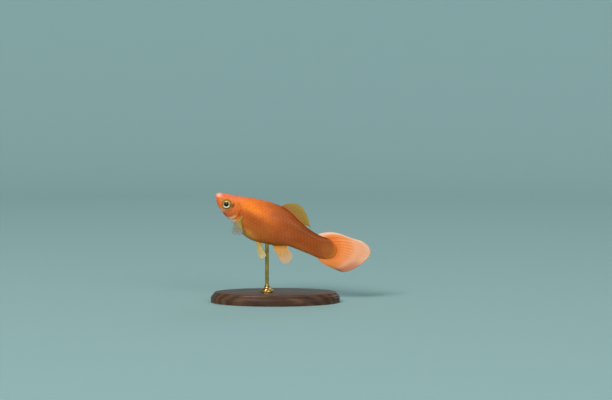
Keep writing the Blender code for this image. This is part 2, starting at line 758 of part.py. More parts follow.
def pose_fish(pieces, parts):
    """Puts every piece of the fish under one empty that tilts it and lifts it onto the rod."""
    pose = bpy.data.objects.new("fish_pose", None)
    parts.objects.link(pose)
    pose.rotation_euler = (0, NOSE_UP, 0)
    belly = swim(Vector((ROD_PLACE, 0, landmark_value("belly", ROD_PLACE))))
    lifted = rod_top() - Matrix.Rotation(NOSE_UP, 3, "Y") @ belly
    pose.location = (lifted.x, 0, lifted.z)
    for piece in pieces:
        piece.parent = pose
    return pose


def base_profile():
    """How far in and how high each corner of the base's edge is, from the underside to the top."""
    corner = (0.0, BASE_THICKNESS - sum(rise for _, rise in BASE_MOULDING) * MM)
    profile = [(0.0, 0.0), corner]
    for inset, rise in BASE_MOULDING:
        corner = (corner[0] + inset * MM, corner[1] + rise * MM)
        profile.append(corner)
    return profile


def make_stand_base(parts, material):
    """The stand's flat oval base with its moulded edge."""
    bm = bmesh.new()
    rings = []
    for inset, height in base_profile():
        ring = []
        for i in range(BASE_SIDES):
            turn = 2 * math.pi * i / BASE_SIDES
            x = (BASE_LENGTH / 2 - inset) * math.cos(turn)
            y = (BASE_WIDTH / 2 - inset) * math.sin(turn)
            ring.append(bm.verts.new((x, y, height)))
        rings.append(ring)
    for ring, above in zip(rings, rings[1:]):
        for i in range(BASE_SIDES):
            j = (i + 1) % BASE_SIDES
            bm.faces.new((ring[i], ring[j], above[j], above[i]))
    bm.faces.new(rings[0])
    bm.faces.new(rings[-1])
    return mesh_object("stand_base", bm, parts, material)


def make_stand_rod(parts, cutters, material, pose):
    """The turned rod with its foot. Its top is cut to the belly's own slope."""
    foot = BASE_THICKNESS + GAP
    top = BASE_THICKNESS + ROD_REACH + 4 * MM
    profile = [
        (0, top),
        (ROD_RADIUS, top),
        (ROD_RADIUS, foot + 2.2 * FOOT_HEIGHT),
        (1.5 * ROD_RADIUS, foot + 1.3 * FOOT_HEIGHT),
        (FOOT_RADIUS - 0.3 * MM, foot + FOOT_HEIGHT),
        (FOOT_RADIUS, foot + FOOT_HEIGHT - 0.3 * MM),
        (FOOT_RADIUS, foot),
        (0, foot),
    ]
    mesh = bpy.data.meshes.new("stand_rod")
    mesh.from_pydata([(x, 0, z) for x, z in profile], [(i, i + 1) for i in range(len(profile) - 1)], [])
    rod = bpy.data.objects.new("stand_rod", mesh)
    parts.objects.link(rod)
    rod.location = (-ROD_OFFSET, swim(Vector((ROD_PLACE, 0, 0))).y, 0)
    screw = rod.modifiers.new("turned", "SCREW")
    screw.axis = "Z"
    screw.steps = screw.render_steps = ROD_SIDES
    screw.use_merge_vertices = True
    screw.merge_threshold = 1e-6
    mesh = real_mesh(rod)
    rod.modifiers.clear()
    rod.data = mesh
    belly = loft_body("belly_room", spaced(44 * PER_CENT, 58 * PER_CENT, 10), 36, cutters, GAP)
    bend_to_swim(belly)
    belly.parent = pose
    combine(rod, [belly], "DIFFERENCE")
    rod.data.materials.append(material)
    return keep_body(rod)


def main():
    clear_scene()
    parts = make_collection("swordtail_model")
    cutters = make_collection("cutters")
    skin = make_material("orange_skin", ORANGE_SKIN, 0.35)
    pale = make_material("pale_skin", PALE_SKIN, 0.35)
    yellow = make_material("yellow_fin", YELLOW_FIN, 0.4)
    orange = make_material("orange_fin", ORANGE_FIN, 0.4)
    silver = make_material("eye_silver", EYE_SILVER, 0.15)
    wood = make_material("dark_wood", DARK_WOOD, 0.45)
    brass = make_material("brass", BRASS, 0.3, metallic=1.0)
    bodies = [
        make_head(parts, cutters, skin),
        make_lower_jaw(parts, cutters, skin),
        make_trunk(parts, skin),
        make_tail_stalk(parts, skin),
    ]
    for word, side in (("left", -1), ("right", 1)):
        bodies.append(make_gill_cover(f"gill_cover_{word}", side, parts, cutters, pale))
    bodies += make_fins(parts, yellow, orange)
    for body in bodies:
        bend_to_swim(body)
    eyes = [make_eye(f"eye_{word}", side, parts, silver) for word, side in (("left", -1), ("right", 1))]
    pose = pose_fish(bodies + eyes, parts)
    make_stand_base(parts, wood)
    make_stand_rod(parts, cutters, brass, pose)


main()
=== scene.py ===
# %% [markdown]
# # A swordtail model for a museum case
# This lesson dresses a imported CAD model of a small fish, a female swordtail on a display stand, until it
# looks like the painted model that a museum shows. The CAD model is loaded first and never changed. Every
# new piece takes its place from the same named sizes that the CAD model was made from, so nothing has to be
# fitted by eye.

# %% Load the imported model
import math

import bpy
import numpy as np
from mathutils import Matrix, Vector


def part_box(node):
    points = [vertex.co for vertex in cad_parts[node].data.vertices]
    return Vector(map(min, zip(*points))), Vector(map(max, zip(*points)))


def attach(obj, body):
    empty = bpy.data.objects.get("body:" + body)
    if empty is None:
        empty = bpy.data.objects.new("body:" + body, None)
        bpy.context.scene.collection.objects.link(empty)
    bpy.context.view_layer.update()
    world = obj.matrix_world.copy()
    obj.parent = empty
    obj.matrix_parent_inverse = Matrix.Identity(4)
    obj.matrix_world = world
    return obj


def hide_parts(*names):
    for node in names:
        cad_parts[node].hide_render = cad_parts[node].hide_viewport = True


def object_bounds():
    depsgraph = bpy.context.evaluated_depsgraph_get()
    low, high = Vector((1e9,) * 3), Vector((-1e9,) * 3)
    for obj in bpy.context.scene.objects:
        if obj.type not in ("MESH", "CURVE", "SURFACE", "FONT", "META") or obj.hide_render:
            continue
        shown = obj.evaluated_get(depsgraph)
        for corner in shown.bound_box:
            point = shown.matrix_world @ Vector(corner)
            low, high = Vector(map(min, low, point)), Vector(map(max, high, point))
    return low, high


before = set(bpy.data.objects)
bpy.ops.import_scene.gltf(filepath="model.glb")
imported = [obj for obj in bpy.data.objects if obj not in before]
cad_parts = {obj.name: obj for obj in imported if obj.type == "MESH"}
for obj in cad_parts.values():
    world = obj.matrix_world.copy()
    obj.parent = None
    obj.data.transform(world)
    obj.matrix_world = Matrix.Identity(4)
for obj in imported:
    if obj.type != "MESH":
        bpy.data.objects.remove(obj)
cad_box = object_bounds()
bpy.ops.object.select_all(action="DESELECT")
MM = 0.001
CAD_SIZE = [round((high - low) / MM, 1) for low, high in zip(*cad_box)]
print("the packed model measures", CAD_SIZE, "mm and has", len(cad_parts), "nodes")

# %% [markdown]
# ## The fish's own sizes
# A fish is measured in per cent of its standard length, from the snout to the end of the flesh. One row of
# the table is one section of the body: its place from the snout, the heights of the back and the belly, the
# half width, the height of the widest line, and how square the back and the belly are. The rows could be
# joined with straight lines, but a smooth curve through them gives a body without kinks.

# %% Sizes of the body
STANDARD_LENGTH = 63.8 * MM
PER_CENT = STANDARD_LENGTH / 100
GAP = 0.3 * MM
FIELDS = ("back", "belly", "half_width", "waist", "back_power", "belly_power")
SECTIONS = np.array(
    (
        (0.0, 2.6, -2.0, 3.0, 0.5, 2.4, 2.2),  # lips
        (3.1, 3.5, -4.9, 3.9, -0.6, 2.6, 2.2),  # chin
        (7.1, 4.5, -7.8, 4.8, -1.6, 2.8, 2.1),  # front of the eye
        (11.0, 5.5, -10.1, 5.5, -2.2, 2.7, 2.1),  # middle of the eye
        (17.2, 7.2, -12.6, 6.4, -2.7, 2.5, 2.1),  # cheek
        (23.5, 9.0, -14.6, 7.0, -3.3, 2.3, 2.1),  # end of the gill cover
        (31.3, 11.0, -18.3, 7.7, -4.5, 2.1, 2.2),  # shoulder
        (39.2, 12.5, -19.4, 7.9, -5.0, 2.0, 2.3),  # deepest belly
        (47.8, 13.2, -17.9, 7.4, -4.4, 1.9, 2.1),  # start of the dorsal fin
        (56.4, 12.0, -15.8, 6.3, -3.3, 1.9, 1.9),  # start of the anal fin
        (64.3, 9.0, -12.5, 5.2, -2.4, 1.9, 2.0),  # end of the anal fin
        (72.1, 6.7, -11.7, 4.2, -2.4, 2.0, 2.0),  # end of the dorsal fin
        (82.3, 5.0, -11.3, 3.0, -3.0, 2.2, 2.2),  # slimmest of the stalk
        (91.0, 5.3, -11.3, 2.0, -2.8, 2.6, 2.6),  # roots of the tail rays
        (100.0, 6.2, -11.4, 1.0, -2.6, 3.0, 3.0),  # end of the flesh
    )
)
SNOUT_ROUNDING = 1.9 * PER_CENT
SNOUT_HEIGHT = 0.4 * PER_CENT
FRONT_TOP = 1.6 * PER_CENT
FRONT_SLANT = 0.30
FRONT_LEAST = 0.05 * PER_CENT
FRONT_REACH = 6 * PER_CENT
FRONT_DEPTH = 4.5 * PER_CENT
END_BULGE = 9.9 * PER_CENT
END_BULGE_START = 81.5 * PER_CENT
END_ROUND = 0.6 * MM
LEFT, RIGHT = -1, 1


def size_along(field, place):
    """One of the body's sizes at these places, in metres or as a power, on a smooth curve."""
    places, values = SECTIONS[:, 0], SECTIONS[:, 1 + FIELDS.index(field)]
    share = np.clip(np.asarray(place, float) / PER_CENT, 0, 100)
    after = np.clip(np.searchsorted(places, share), 1, len(places) - 1)
    last = len(places) - 1
    low, high = np.maximum(np.arange(last + 1) - 1, 0), np.minimum(np.arange(last + 1) + 1, last)
    slopes = (values[high] - values[low]) / (places[high] - places[low])
    width = places[after] - places[after - 1]
    t = (share - places[after - 1]) / width
    start = (2 * t**3 - 3 * t**2 + 1) * values[after - 1] + (t**3 - 2 * t**2 + t) * width * slopes[after - 1]
    end = (3 * t**2 - 2 * t**3) * values[after] + (t**3 - t**2) * width * slopes[after]
    return (start + end) * (1 if field.endswith("power") else PER_CENT)


END_MIDDLE = float(size_along("back", STANDARD_LENGTH) + size_along("belly", STANDARD_LENGTH)) / 2
END_HALF = float(size_along("back", STANDARD_LENGTH) - size_along("belly", STANDARD_LENGTH)) / 2
print("standard length", STANDARD_LENGTH / MM, "mm, flesh ends", round(2 * END_HALF / MM, 1), "mm high")

# %% [markdown]
# ## From a place and a turn to a point
# Every point of the body has two numbers: its place along the body, and its turn round it, 0 at the back and
# pi at the belly. The same two numbers later carry the skin's mesh, each scale and the painted markings, so
# they all agree. At the snout the sections shrink to a point, and its lower part is drawn back, which makes
# the front blunt. At the tail the flesh ends in a bulge.


# %% Points of the bare body
def signed_power(value, power):
    return np.sign(value) * np.abs(value) ** power


def front_setback(place, height):
    """How far points near the tip are drawn back, which makes the snout's front blunt."""
    below = np.clip(FRONT_TOP - height, 0, FRONT_DEPTH)
    fade = np.maximum(0, 1 - np.maximum(0, place) / FRONT_REACH) ** 2
    return fade * (FRONT_LEAST + FRONT_SLANT * below)


def snout_shrink(place):
    """How small the sections are near the tip, 0 at the snout and 1 where its rounding ends."""
    return np.sqrt(1 - (1 - np.clip(place / SNOUT_ROUNDING, 0, 1)) ** 2)


def half_section(place, upper):
    """The edge's height and the power of a section's upper or lower half."""
    edge = np.where(upper, size_along("back", place), size_along("belly", place))
    return edge, np.where(upper, size_along("back_power", place), size_along("belly_power", place))


def bare(place, turn):
    """Points of the bare body. A place past the standard length closes the end of the flesh."""
    over = np.clip(place - STANDARD_LENGTH, 0, END_ROUND)
    place = np.minimum(place, STANDARD_LENGTH)
    waist = size_along("waist", place)
    edge, power = half_section(place, np.cos(turn) > 0)
    shrink = snout_shrink(place)
    y = -size_along("half_width", place) * signed_power(np.sin(turn), 2 / power) * shrink
    z = waist + np.abs(edge - waist) * signed_power(np.cos(turn), 2 / power)
    z = SNOUT_HEIGHT + (z - SNOUT_HEIGHT) * shrink
    tail_share = np.maximum(0, place - END_BULGE_START) / (STANDARD_LENGTH - END_BULGE_START)
    setback = END_BULGE * tail_share**2 * np.minimum(1, np.abs((z - END_MIDDLE) / END_HALF)) ** 3
    y = y * np.sqrt(np.maximum(0, 1 - (over / END_ROUND) ** 2))
    return np.stack([place - setback + over + front_setback(place, z), y, z], -1)


def outward(place, turn):
    """The directions straight out of the bare body."""
    small, little = 0.05 * MM, 0.004
    inner = np.minimum(place, STANDARD_LENGTH - small)
    along = bare(inner + small, turn) - bare(np.maximum(inner - small, 0), turn)
    around = bare(inner, turn + little) - bare(inner, turn - little)
    normal = np.cross(around, along)
    length = np.linalg.norm(normal, axis=-1, keepdims=True)
    tip = (place < 0.002 * MM)[..., None] | (length < 1e-20)
    ahead = np.array((-1.0, 0.0, -FRONT_SLANT)) / math.hypot(1, FRONT_SLANT)
    return np.where(tip, ahead, normal / np.maximum(length, 1e-30))


def flank_width(place, height):
    """Half the body's width at a place and a height."""
    shrink = snout_shrink(place)
    height = SNOUT_HEIGHT + (height - SNOUT_HEIGHT) / shrink
    waist = size_along("waist", place)
    edge, power = half_section(place, height > waist)
    share = np.minimum(1, np.abs((height - waist) / (edge - waist)))
    return shrink * size_along("half_width", place) * (1 - share**power) ** (1 / power)


def flank_frame(place, height, side, lift):
    """A frame on the flank, its Z pointing straight out of the skin, and its origin lifted along that."""
    reach = 0.5 * PER_CENT
    along = (flank_width(place + reach, height) - flank_width(place - reach, height)) / (2 * reach)
    upward = (flank_width(place, height + reach) - flank_width(place, height - reach)) / (2 * reach)
    out = Vector((-along, side, -upward)).normalized()
    origin = Vector((place, side * flank_width(place, height), height)) + out * lift
    return Matrix.Translation(origin) @ out.to_track_quat("Z", "Y").to_matrix().to_4x4()


print("the body is", round(2 * float(flank_width(39.2 * PER_CENT, -5.0 * PER_CENT)) / MM, 1), "mm wide")

# %% [markdown]
# ## Onto the stand
# The straight fish is bent by one gentle swimming curve, turned nose up as in the photograph, and lifted
# until its belly meets the rod. One function does this for every piece, and its result is compared with the
# packed eye, which shows at once if a size was copied wrongly.

# %% From the straight fish to the stand
NOSE_UP = math.radians(24.5)
SWIM_START = 39 * PER_CENT
SWIM_SPAN = 86 * PER_CENT
SWIM_SWEEP = 7 * PER_CENT
ROD_PLACE = 50.4 * PER_CENT
ROD_TOP = np.array((-4 * MM, 0.0, 28 * MM))
TILT = np.array(Matrix.Rotation(NOSE_UP, 3, "Y"))


def swim(points):
    """The straight fish's points on the swimming curve, which carries the tail away to +Y."""
    x, y, z = np.moveaxis(np.asarray(points, float), -1, 0)
    reach = np.maximum(0, x - SWIM_START) / SWIM_SPAN
    turn = np.arctan(2 * SWIM_SWEEP * reach / SWIM_SPAN)
    return np.stack([x - y * np.sin(turn), SWIM_SWEEP * reach**2 + y * np.cos(turn), z], -1)


BELLY_AT_ROD = swim((ROD_PLACE, 0.0, float(size_along("belly", ROD_PLACE))))
LIFT = ROD_TOP - TILT @ BELLY_AT_ROD
LIFT[1] = 0


def onto_stand(points):
    """The straight fish's points in the frame of the whole part."""
    return swim(points) @ TILT.T + LIFT


EYE_PLACE = 10.7 * PER_CENT
EYE_HEIGHT = -2.3 * PER_CENT
EYE_RADIUS = 3.6 * PER_CENT
EYE_DEPTH = 1.9 * PER_CENT
EYE_STANDS_OUT = 0.9 * PER_CENT
EYE_FRAMES = {
    side: flank_frame(EYE_PLACE, EYE_HEIGHT, side, EYE_STANDS_OUT - EYE_DEPTH) for side in (LEFT, RIGHT)
}
eye_low, eye_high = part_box("eye_left")
eye_here = onto_stand(EYE_FRAMES[LEFT].translation)
print("the packed eye is", round((Vector(eye_here) - (eye_low + eye_high) / 2).length / MM, 2), "mm away")

# %% [markdown]
# ## Helpers for colour and nodes
# Colours are written as the sRGB hex values that a paint chart gives, and one function turns them into the
# linear values that Blender computes with. Another adds one node with its settings and links, so that each
# material below reads as a list of what it is made of.


# %% Helpers for materials
def linear(code):
    """An sRGB hex colour as linear red, green and blue, with a full alpha."""
    parts = [int(code[i : i + 2], 16) / 255 for i in (1, 3, 5)]
    return (*[p / 12.92 if p <= 0.04045 else ((p + 0.055) / 1.055) ** 2.4 for p in parts], 1.0)


def add(tree, kind, settings=None, inputs=None):
    """Adds a node. An input is a number, a hex colour, or a node or socket that is linked to it."""
    node = tree.nodes.new(kind)
    for name, value in (settings or {}).items():
        setattr(node, name, value)
    for key, value in (inputs or {}).items():
        if isinstance(value, bpy.types.Node):
            value = value.outputs[0]
        if isinstance(value, bpy.types.NodeSocket):
            tree.links.new(value, node.inputs[key])
        else:
            node.inputs[key].default_value = linear(value) if isinstance(value, str) else value
    return node


def new_material(name, **sockets):
    """A material, its tree and its Principled shader, whose sockets are set by their names."""
    material = bpy.data.materials.new(name)
    material.use_nodes = True
    shader = material.node_tree.nodes["Principled BSDF"]
    for key, value in sockets.items():
        shader.inputs[key.replace("_", " ")].default_value = value
    return material, material.node_tree, shader


print("a middle grey of #808080 is", round(linear("#808080")[0], 3), "linear")

# %% [markdown]
# ## The room, the camera and the light
# The photograph was taken level with the fish, from its left side, through a tele lens. A long lens far away
# keeps the same flat view. The model stands in a plain pale studio dish: a floor whose edge curves up all
# round, so that no horizon cuts the picture and every side has the same quiet background. The light comes
# from above and in front, large and soft, with a weaker one behind that lets the fins glow.

# %% A helper for turned shapes
def turned(name, rings, sides, centre=(0.0, 0.0), filled=True):
    """A shape turned round a vertical axis: a circle, extruded and resized from ring to ring.

    A ring is its half length, its half width and its height, so it may be a circle or an oval."""
    bpy.ops.object.select_all(action="DESELECT")
    start, fill = (*centre, rings[0][2]), "NGON" if filled else "NOTHING"
    bpy.ops.mesh.primitive_circle_add(vertices=sides, radius=rings[0][0], location=start, fill_type=fill)
    piece = bpy.context.object
    piece.name = piece.data.name = name
    bpy.ops.object.transform_apply(location=True, rotation=True, scale=True)
    bpy.ops.object.mode_set(mode="EDIT")
    bpy.ops.mesh.select_all(action="SELECT")
    before = (rings[0][0], rings[0][0], rings[0][2])
    for ring in rings:
        if ring is not rings[0]:
            rise = {"value": (0, 0, ring[2] - before[2])}
            bpy.ops.mesh.extrude_region_move(TRANSFORM_OT_translate=rise)
        grow = (ring[0] / before[0], ring[1] / before[1], 1)
        bpy.ops.transform.resize(value=grow, center_override=(*centre, ring[2]))
        before = ring
    if not filled:
        bpy.ops.mesh.edge_face_add()
    bpy.ops.mesh.select_all(action="SELECT")
    bpy.ops.mesh.normals_make_consistent(inside=False)
    bpy.ops.object.mode_set(mode="OBJECT")
    return piece


# %% The studio floor
FLOOR_RADIUS, FLOOR_CURVE, STEEPEST = 0.9, 0.95, math.radians(62)
FLOOR_RINGS, FLOOR_SIDES = 19, 96
FIBRE_TUFT = 1.11 * MM
dish = []
for i in range(FLOOR_RINGS):
    slope = STEEPEST * (1 - i / (FLOOR_RINGS - 1))
    reach = FLOOR_RADIUS + FLOOR_CURVE * math.sin(slope)
    dish.append((reach, reach, FLOOR_CURVE * (1 - math.cos(slope))))
floor = turned("studio_floor", dish, FLOOR_SIDES, filled=False)
for polygon in floor.data.polygons:
    polygon.use_smooth = len(polygon.vertices) == 4
# Seamless paper has no gloss, only a faint tooth of tufted fibres, and its sea grey sets off the warm fish
paper_look = {"Base_Color": linear("#94b8bb"), "Roughness": 0.95, "Specular_IOR_Level": 0.1}
paper, tree, shader = new_material("matte studio paper", **paper_look)
here = add(tree, "ShaderNodeTexCoord").outputs["Object"]
fibre = add(tree, "ShaderNodeTexNoise", None, {"Vector": here, "Scale": 1 / FIBRE_TUFT, "Detail": 3.0})
bump = add(tree, "ShaderNodeBump", None, {"Height": fibre, "Strength": 0.05, "Distance": 0.2 * MM})
tree.links.new(bump.outputs["Normal"], shader.inputs["Normal"])
floor.data.materials.append(paper)
print("the studio floor is a dish", round(2 * dish[0][0], 2), "m across and", round(dish[0][2], 2), "m deep")

# %% The camera
AIM = Vector((14.73 * MM, 0, 49.17 * MM))
CAMERA_DISTANCE = 0.692
CAMERA_ELEVATION = math.radians(3.5)
camera = bpy.data.objects.new("camera", bpy.data.cameras.new("camera"))
bpy.context.scene.collection.objects.link(camera)
camera.data.lens = 85
camera.data.sensor_width = 36
camera.data.clip_start = 0.01
towards = Vector((0, -math.cos(CAMERA_ELEVATION), math.sin(CAMERA_ELEVATION)))
camera.location = AIM + towards * CAMERA_DISTANCE
camera.rotation_euler = (math.pi / 2 - CAMERA_ELEVATION, 0, 0)
bpy.context.scene.camera = camera
print("the camera stands", round(camera.location.z / MM), "mm above the floor")


# %% Lamps
LAMPS_AIM = Vector((0, 0, 40 * MM))


def lamp(name, place, size, power, colour):
    """A soft area lamp that points at the fish and doesn't show itself."""
    light = bpy.data.objects.new(name, bpy.data.lights.new(name, "AREA"))
    bpy.context.scene.collection.objects.link(light)
    light.data.shape = "DISK"
    light.data.size = size
    light.data.energy = power
    light.data.color = linear(colour)[:3]
    light.visible_camera = False
    light.location = place
    light.rotation_euler = (Vector(place) - LAMPS_AIM).to_track_quat("Z", "Y").to_euler()
    return light


lamps = [
    lamp("key", (-1.00, -2.00, 1.85), 1.3, 66.0, "#fff8ee"),
    lamp("fill", (1.20, -2.20, 0.85), 1.6, 34.0, "#fffaf4"),
    lamp("back", (0.90, 2.00, 1.70), 1.6, 9.0, "#ffffff"),
]
room = bpy.data.worlds.new("room")
bpy.context.scene.world = room
room.use_nodes = True
room.node_tree.nodes["Background"].inputs["Color"].default_value = linear("#dfe9ea")
room.node_tree.nodes["Background"].inputs["Strength"].default_value = 0.27
bpy.context.scene.view_settings.view_transform = "Standard"
print(len(lamps), "lamps")

# %% [markdown]
# ## The relief of the skin
# The bare body is as smooth as an egg. What makes a head of it is relief: lips along the line of the mouth,
# nostrils, the hollow and the rim of each eye, the free edge of the gill cover with the slit behind it, and
# the folds of the throat. They could be cut with Booleans, but soft skin has no sharp cuts. So one function
# says how far the finished skin stands out of the bare body, or lies under it, at any point.

# %% Soft steps and humps
def ramp(value, low, high):
    """0 up to low, 1 from high on, and a smooth rise between them."""
    t = np.clip((value - low) / (high - low), 0, 1)
    return t * t * (3 - 2 * t)


def hump(value, middle, half):
    """1 at the middle, and a smooth fall to 0 at half away from it."""
    return 1 - ramp(np.abs(value - middle), 0, half)


for share in (0.25, 0.5, 0.75):
    print("at", share, "of its width a soft step has risen by", round(float(ramp(share, 0, 1)), 2))

# %% The gill cover's outline
COVER_CENTRE = np.array((17.3, -4.9)) * PER_CENT
COVER_HALF = np.array((4.8, 6.3)) * PER_CENT
COVER_LEAN = math.radians(10)
COVER_SQUARENESS = 2.4
EYE_CLEARANCE = 5.2 * PER_CENT


def cover_outline():
    """The gill cover's outline in the side view: an oval, hollowed where it passes round the eye."""
    turn = np.linspace(0, 2 * math.pi, 160, endpoint=False)
    oval = np.stack([np.cos(turn), np.sin(turn)], -1)
    oval = signed_power(oval, 2 / COVER_SQUARENESS) * COVER_HALF
    lean = np.array(Matrix.Rotation(COVER_LEAN, 2))
    away = oval @ lean + COVER_CENTRE - (EYE_PLACE, EYE_HEIGHT)
    reach = np.linalg.norm(away, axis=1, keepdims=True)
    return (EYE_PLACE, EYE_HEIGHT) + away / reach * np.maximum(reach, EYE_CLEARANCE)


COVER_EDGE = cover_outline()


def cover_distance(points):
    """How far points are outside the gill cover's edge in the side view, or inside it where below 0."""
    at = points[:, (0, 2)]
    distance = np.full(len(at), 1.0)
    inside = np.zeros(len(at), bool)
    for a, b in zip(COVER_EDGE, np.roll(COVER_EDGE, -1, 0)):
        along = b - a
        t = np.clip(((at - a) @ along) / (along @ along), 0, 1)
        distance = np.minimum(distance, np.linalg.norm(at - a - t[:, None] * along, axis=1))
        crosses = (a[1] > at[:, 1]) != (b[1] > at[:, 1])
        rise = along[1] if along[1] else 1e-12
        inside ^= crosses & (at[:, 0] < a[0] + along[0] * (at[:, 1] - a[1]) / rise)
    return np.where(inside, -distance, distance)


def free_edge(x, z):
    """Where the gill cover's edge is free: 1 behind and below its middle, and 0 in front of and above it."""
    towards = np.degrees(np.arctan2(z - COVER_CENTRE[1], x - COVER_CENTRE[0]))
    return ramp(towards, -155, -115) * (1 - ramp(towards, 55, 85)), towards


print("the gill cover's outline has", len(COVER_EDGE), "points")

# %% The mouth
MOUTH_FRONT = np.array((-5.0, 3.1)) * PER_CENT
MOUTH_CORNER = np.array((5.0, -2.9)) * PER_CENT
LIP_MIDDLE, LIP_HALF, LIP_HEIGHT = 0.42 * MM, 0.40 * MM, 0.32 * MM
MOUTH_DEPTH, MOUTH_HALF, MOUTH_FOLD = 0.50 * MM, 0.11 * MM, 0.10 * MM


def mouth_relief(x, z):
    """The mouth and its lips, which follow one straight line in the side view, and the fold at its corner."""
    along = (MOUTH_CORNER - MOUTH_FRONT) / np.linalg.norm(MOUTH_CORNER - MOUTH_FRONT)
    above = (x - MOUTH_CORNER[0]) * -along[1] + (z - MOUTH_CORNER[1]) * along[0]
    before = -((x - MOUTH_CORNER[0]) * along[0] + (z - MOUTH_CORNER[1]) * along[1])
    lips = LIP_HEIGHT * ramp(before, -0.5 * MM, 1.5 * MM) * hump(np.abs(above), LIP_MIDDLE, LIP_HALF)
    line = MOUTH_DEPTH * ramp(before, -0.1 * MM, 0.6 * MM) * hump(above, 0, MOUTH_HALF)
    # The fold runs back and down from the corner, as a part of an upright oval
    fold = np.hypot((x - MOUTH_CORNER[0] - 0.5 * MM) / 0.9, (z - MOUTH_CORNER[1] + 0.9 * MM) / 1.4)
    return lips - line - MOUTH_FOLD * hump(fold, 0.55 * MM, 0.35 * MM)


in_corner = mouth_relief(*MOUTH_CORNER[:, None])
print("at its corner the mouth is", round(-float(in_corner[0]) / MM, 2), "mm deep")

# %% Round the eyes
SOCKET_RADIUS, SOCKET_DEPTH = 2.14 * MM, 0.95 * MM
SOCKET_GROOVE, SOCKET_SLOPE = 0.24 * MM, 0.30 * MM
# Rings round the socket: how high each stands, how far outside it runs, and its half width
SOCKET_RINGS = ((0.15 * MM, 0.45 * MM, 0.42 * MM), (-0.05 * MM, 1.05 * MM, 0.30 * MM))
NOSTRILS = ((4.3, 2.0), (6.0, 2.5))
NOSTRIL_RADIUS, NOSTRIL_DEPTH, NOSTRIL_RIM = 0.30 * MM, 0.28 * MM, 0.06 * MM


def eye_relief(at, side):
    """The groove and rings round an eye, its socket's floor, which hides under the ball, and the nostrils."""
    inverse = np.array(EYE_FRAMES[side].inverted())
    local = at @ inverse[:3, :3].T + inverse[:3, 3]
    r = np.where(local[:, 2] > -3 * MM, np.hypot(local[:, 0], local[:, 1]), 1.0)
    stands = -SOCKET_GROOVE * (1 - ramp(r, SOCKET_RADIUS, SOCKET_RADIUS + SOCKET_SLOPE))
    stands -= SOCKET_DEPTH * (1 - ramp(r, 0.72 * SOCKET_RADIUS, 0.90 * SOCKET_RADIUS))
    for ring_height, outside, half in SOCKET_RINGS:
        stands += ring_height * hump(r, SOCKET_RADIUS + outside, half)
    for place, height in NOSTRILS:
        middle = flank_frame(place * PER_CENT, height * PER_CENT, side, 0).translation
        r = np.linalg.norm(at - middle, axis=1)
        stands -= NOSTRIL_DEPTH * hump(r, 0, NOSTRIL_RADIUS)
        stands += NOSTRIL_RIM * hump(r, NOSTRIL_RADIUS, 0.5 * NOSTRIL_RADIUS)
    return stands


print(len(NOSTRILS), "nostrils on each side, each", round(2 * NOSTRIL_RADIUS / MM, 1), "mm wide")

# %% The gill cover and the throat
COVER_PROUD, COVER_LIP, SLIT_DEPTH = 0.11 * MM, 0.16 * MM, 0.34 * MM
CHEEK_GROOVE, CHEEK_GROOVE_RADIUS = 0.07 * MM, 3.95 * MM
THROAT_FOLD, THROAT_FOLD_STEP = 0.05 * MM, 0.78 * MM


def cover_relief(at):
    """The gill cover, which is proud of the cheek, its free edge over a slit, and the throat's folds."""
    x, z = at[:, 0], at[:, 2]
    edge = cover_distance(at)
    free, towards = free_edge(x, z)
    stands = COVER_PROUD * (1 - ramp(edge, -1.6 * MM, 0)) * (edge < 0)
    lip = ramp(edge, -1.2 * MM, -0.15 * MM) * (1 - ramp(edge, -0.15 * MM, 0.06 * MM))
    slit = ramp(edge, -0.06 * MM, 0.10 * MM) * (1 - ramp(edge, 0.14 * MM, 0.85 * MM))
    stands += free * (COVER_LIP * lip - SLIT_DEPTH * slit)
    # The bone in front of the gill cover shows as an L-shaped groove
    groove = np.hypot(x - 12.6 * PER_CENT, (z + 3.4 * PER_CENT) / 1.35)
    corner = ramp(-towards, 60, 90) * ramp(x, 6 * PER_CENT, 9 * PER_CENT) * (edge < -0.3 * MM)
    stands -= CHEEK_GROOVE * hump(groove, CHEEK_GROOVE_RADIUS, 0.30 * MM) * corner
    throat = ramp(edge, 0.5 * MM, 0.9 * MM) * (1 - ramp(edge, 2.6 * MM, 3.2 * MM))
    throat *= (z < -9 * PER_CENT) * ramp(x, 8 * PER_CENT, 11 * PER_CENT)
    return stands + THROAT_FOLD * throat * np.sin(edge / THROAT_FOLD_STEP * 2 * math.pi)


print("the slit behind the gill cover is", round(SLIT_DEPTH / MM, 2), "mm deep")

# %% The roots of the breast fins
PECTORAL_ROOT = ((24.7, -5.2), (26.2, -9.8))
BREAST_SWELL, BREAST_SWELL_REACH = 0.32 * MM, 1.0 * MM


def breast_relief(x, z):
    """The flesh, which swells a little round the root of each breast fin."""
    first, last = np.array(PECTORAL_ROOT) * PER_CENT
    down = last - first
    t = np.clip(((x - first[0]) * down[0] + (z - first[1]) * down[1]) / (down @ down), 0, 1)
    away = np.hypot(x - first[0] - t * down[0], z - first[1] - t * down[1])
    return BREAST_SWELL * hump(away, 0, BREAST_SWELL_REACH)


print("a breast fin's root is", round(math.dist(*PECTORAL_ROOT) * PER_CENT / MM, 1), "mm long")

# %% The whole skin
HEAD_REACH = 0.29 * STANDARD_LENGTH
COAT_DEPTH = 0.15 * MM


def relief(points):
    """How far the skin stands out of the bare body's points, without the coat's depth."""
    out = np.zeros(len(points))
    head = points[:, 0] < HEAD_REACH
    at = points[head]
    x, z = at[:, 0], at[:, 2]
    eyes_and_nostrils = eye_relief(at, LEFT) + eye_relief(at, RIGHT)
    out[head] = mouth_relief(x, z) + eyes_and_nostrils + cover_relief(at) + breast_relief(x, z)
    return out


def coat_depth(place):
    """How deep the skin lies under the finished surface: as deep as the scales that cover it."""
    return COAT_DEPTH * (0.25 + 0.75 * ramp(place, 6 * PER_CENT, 24 * PER_CENT))


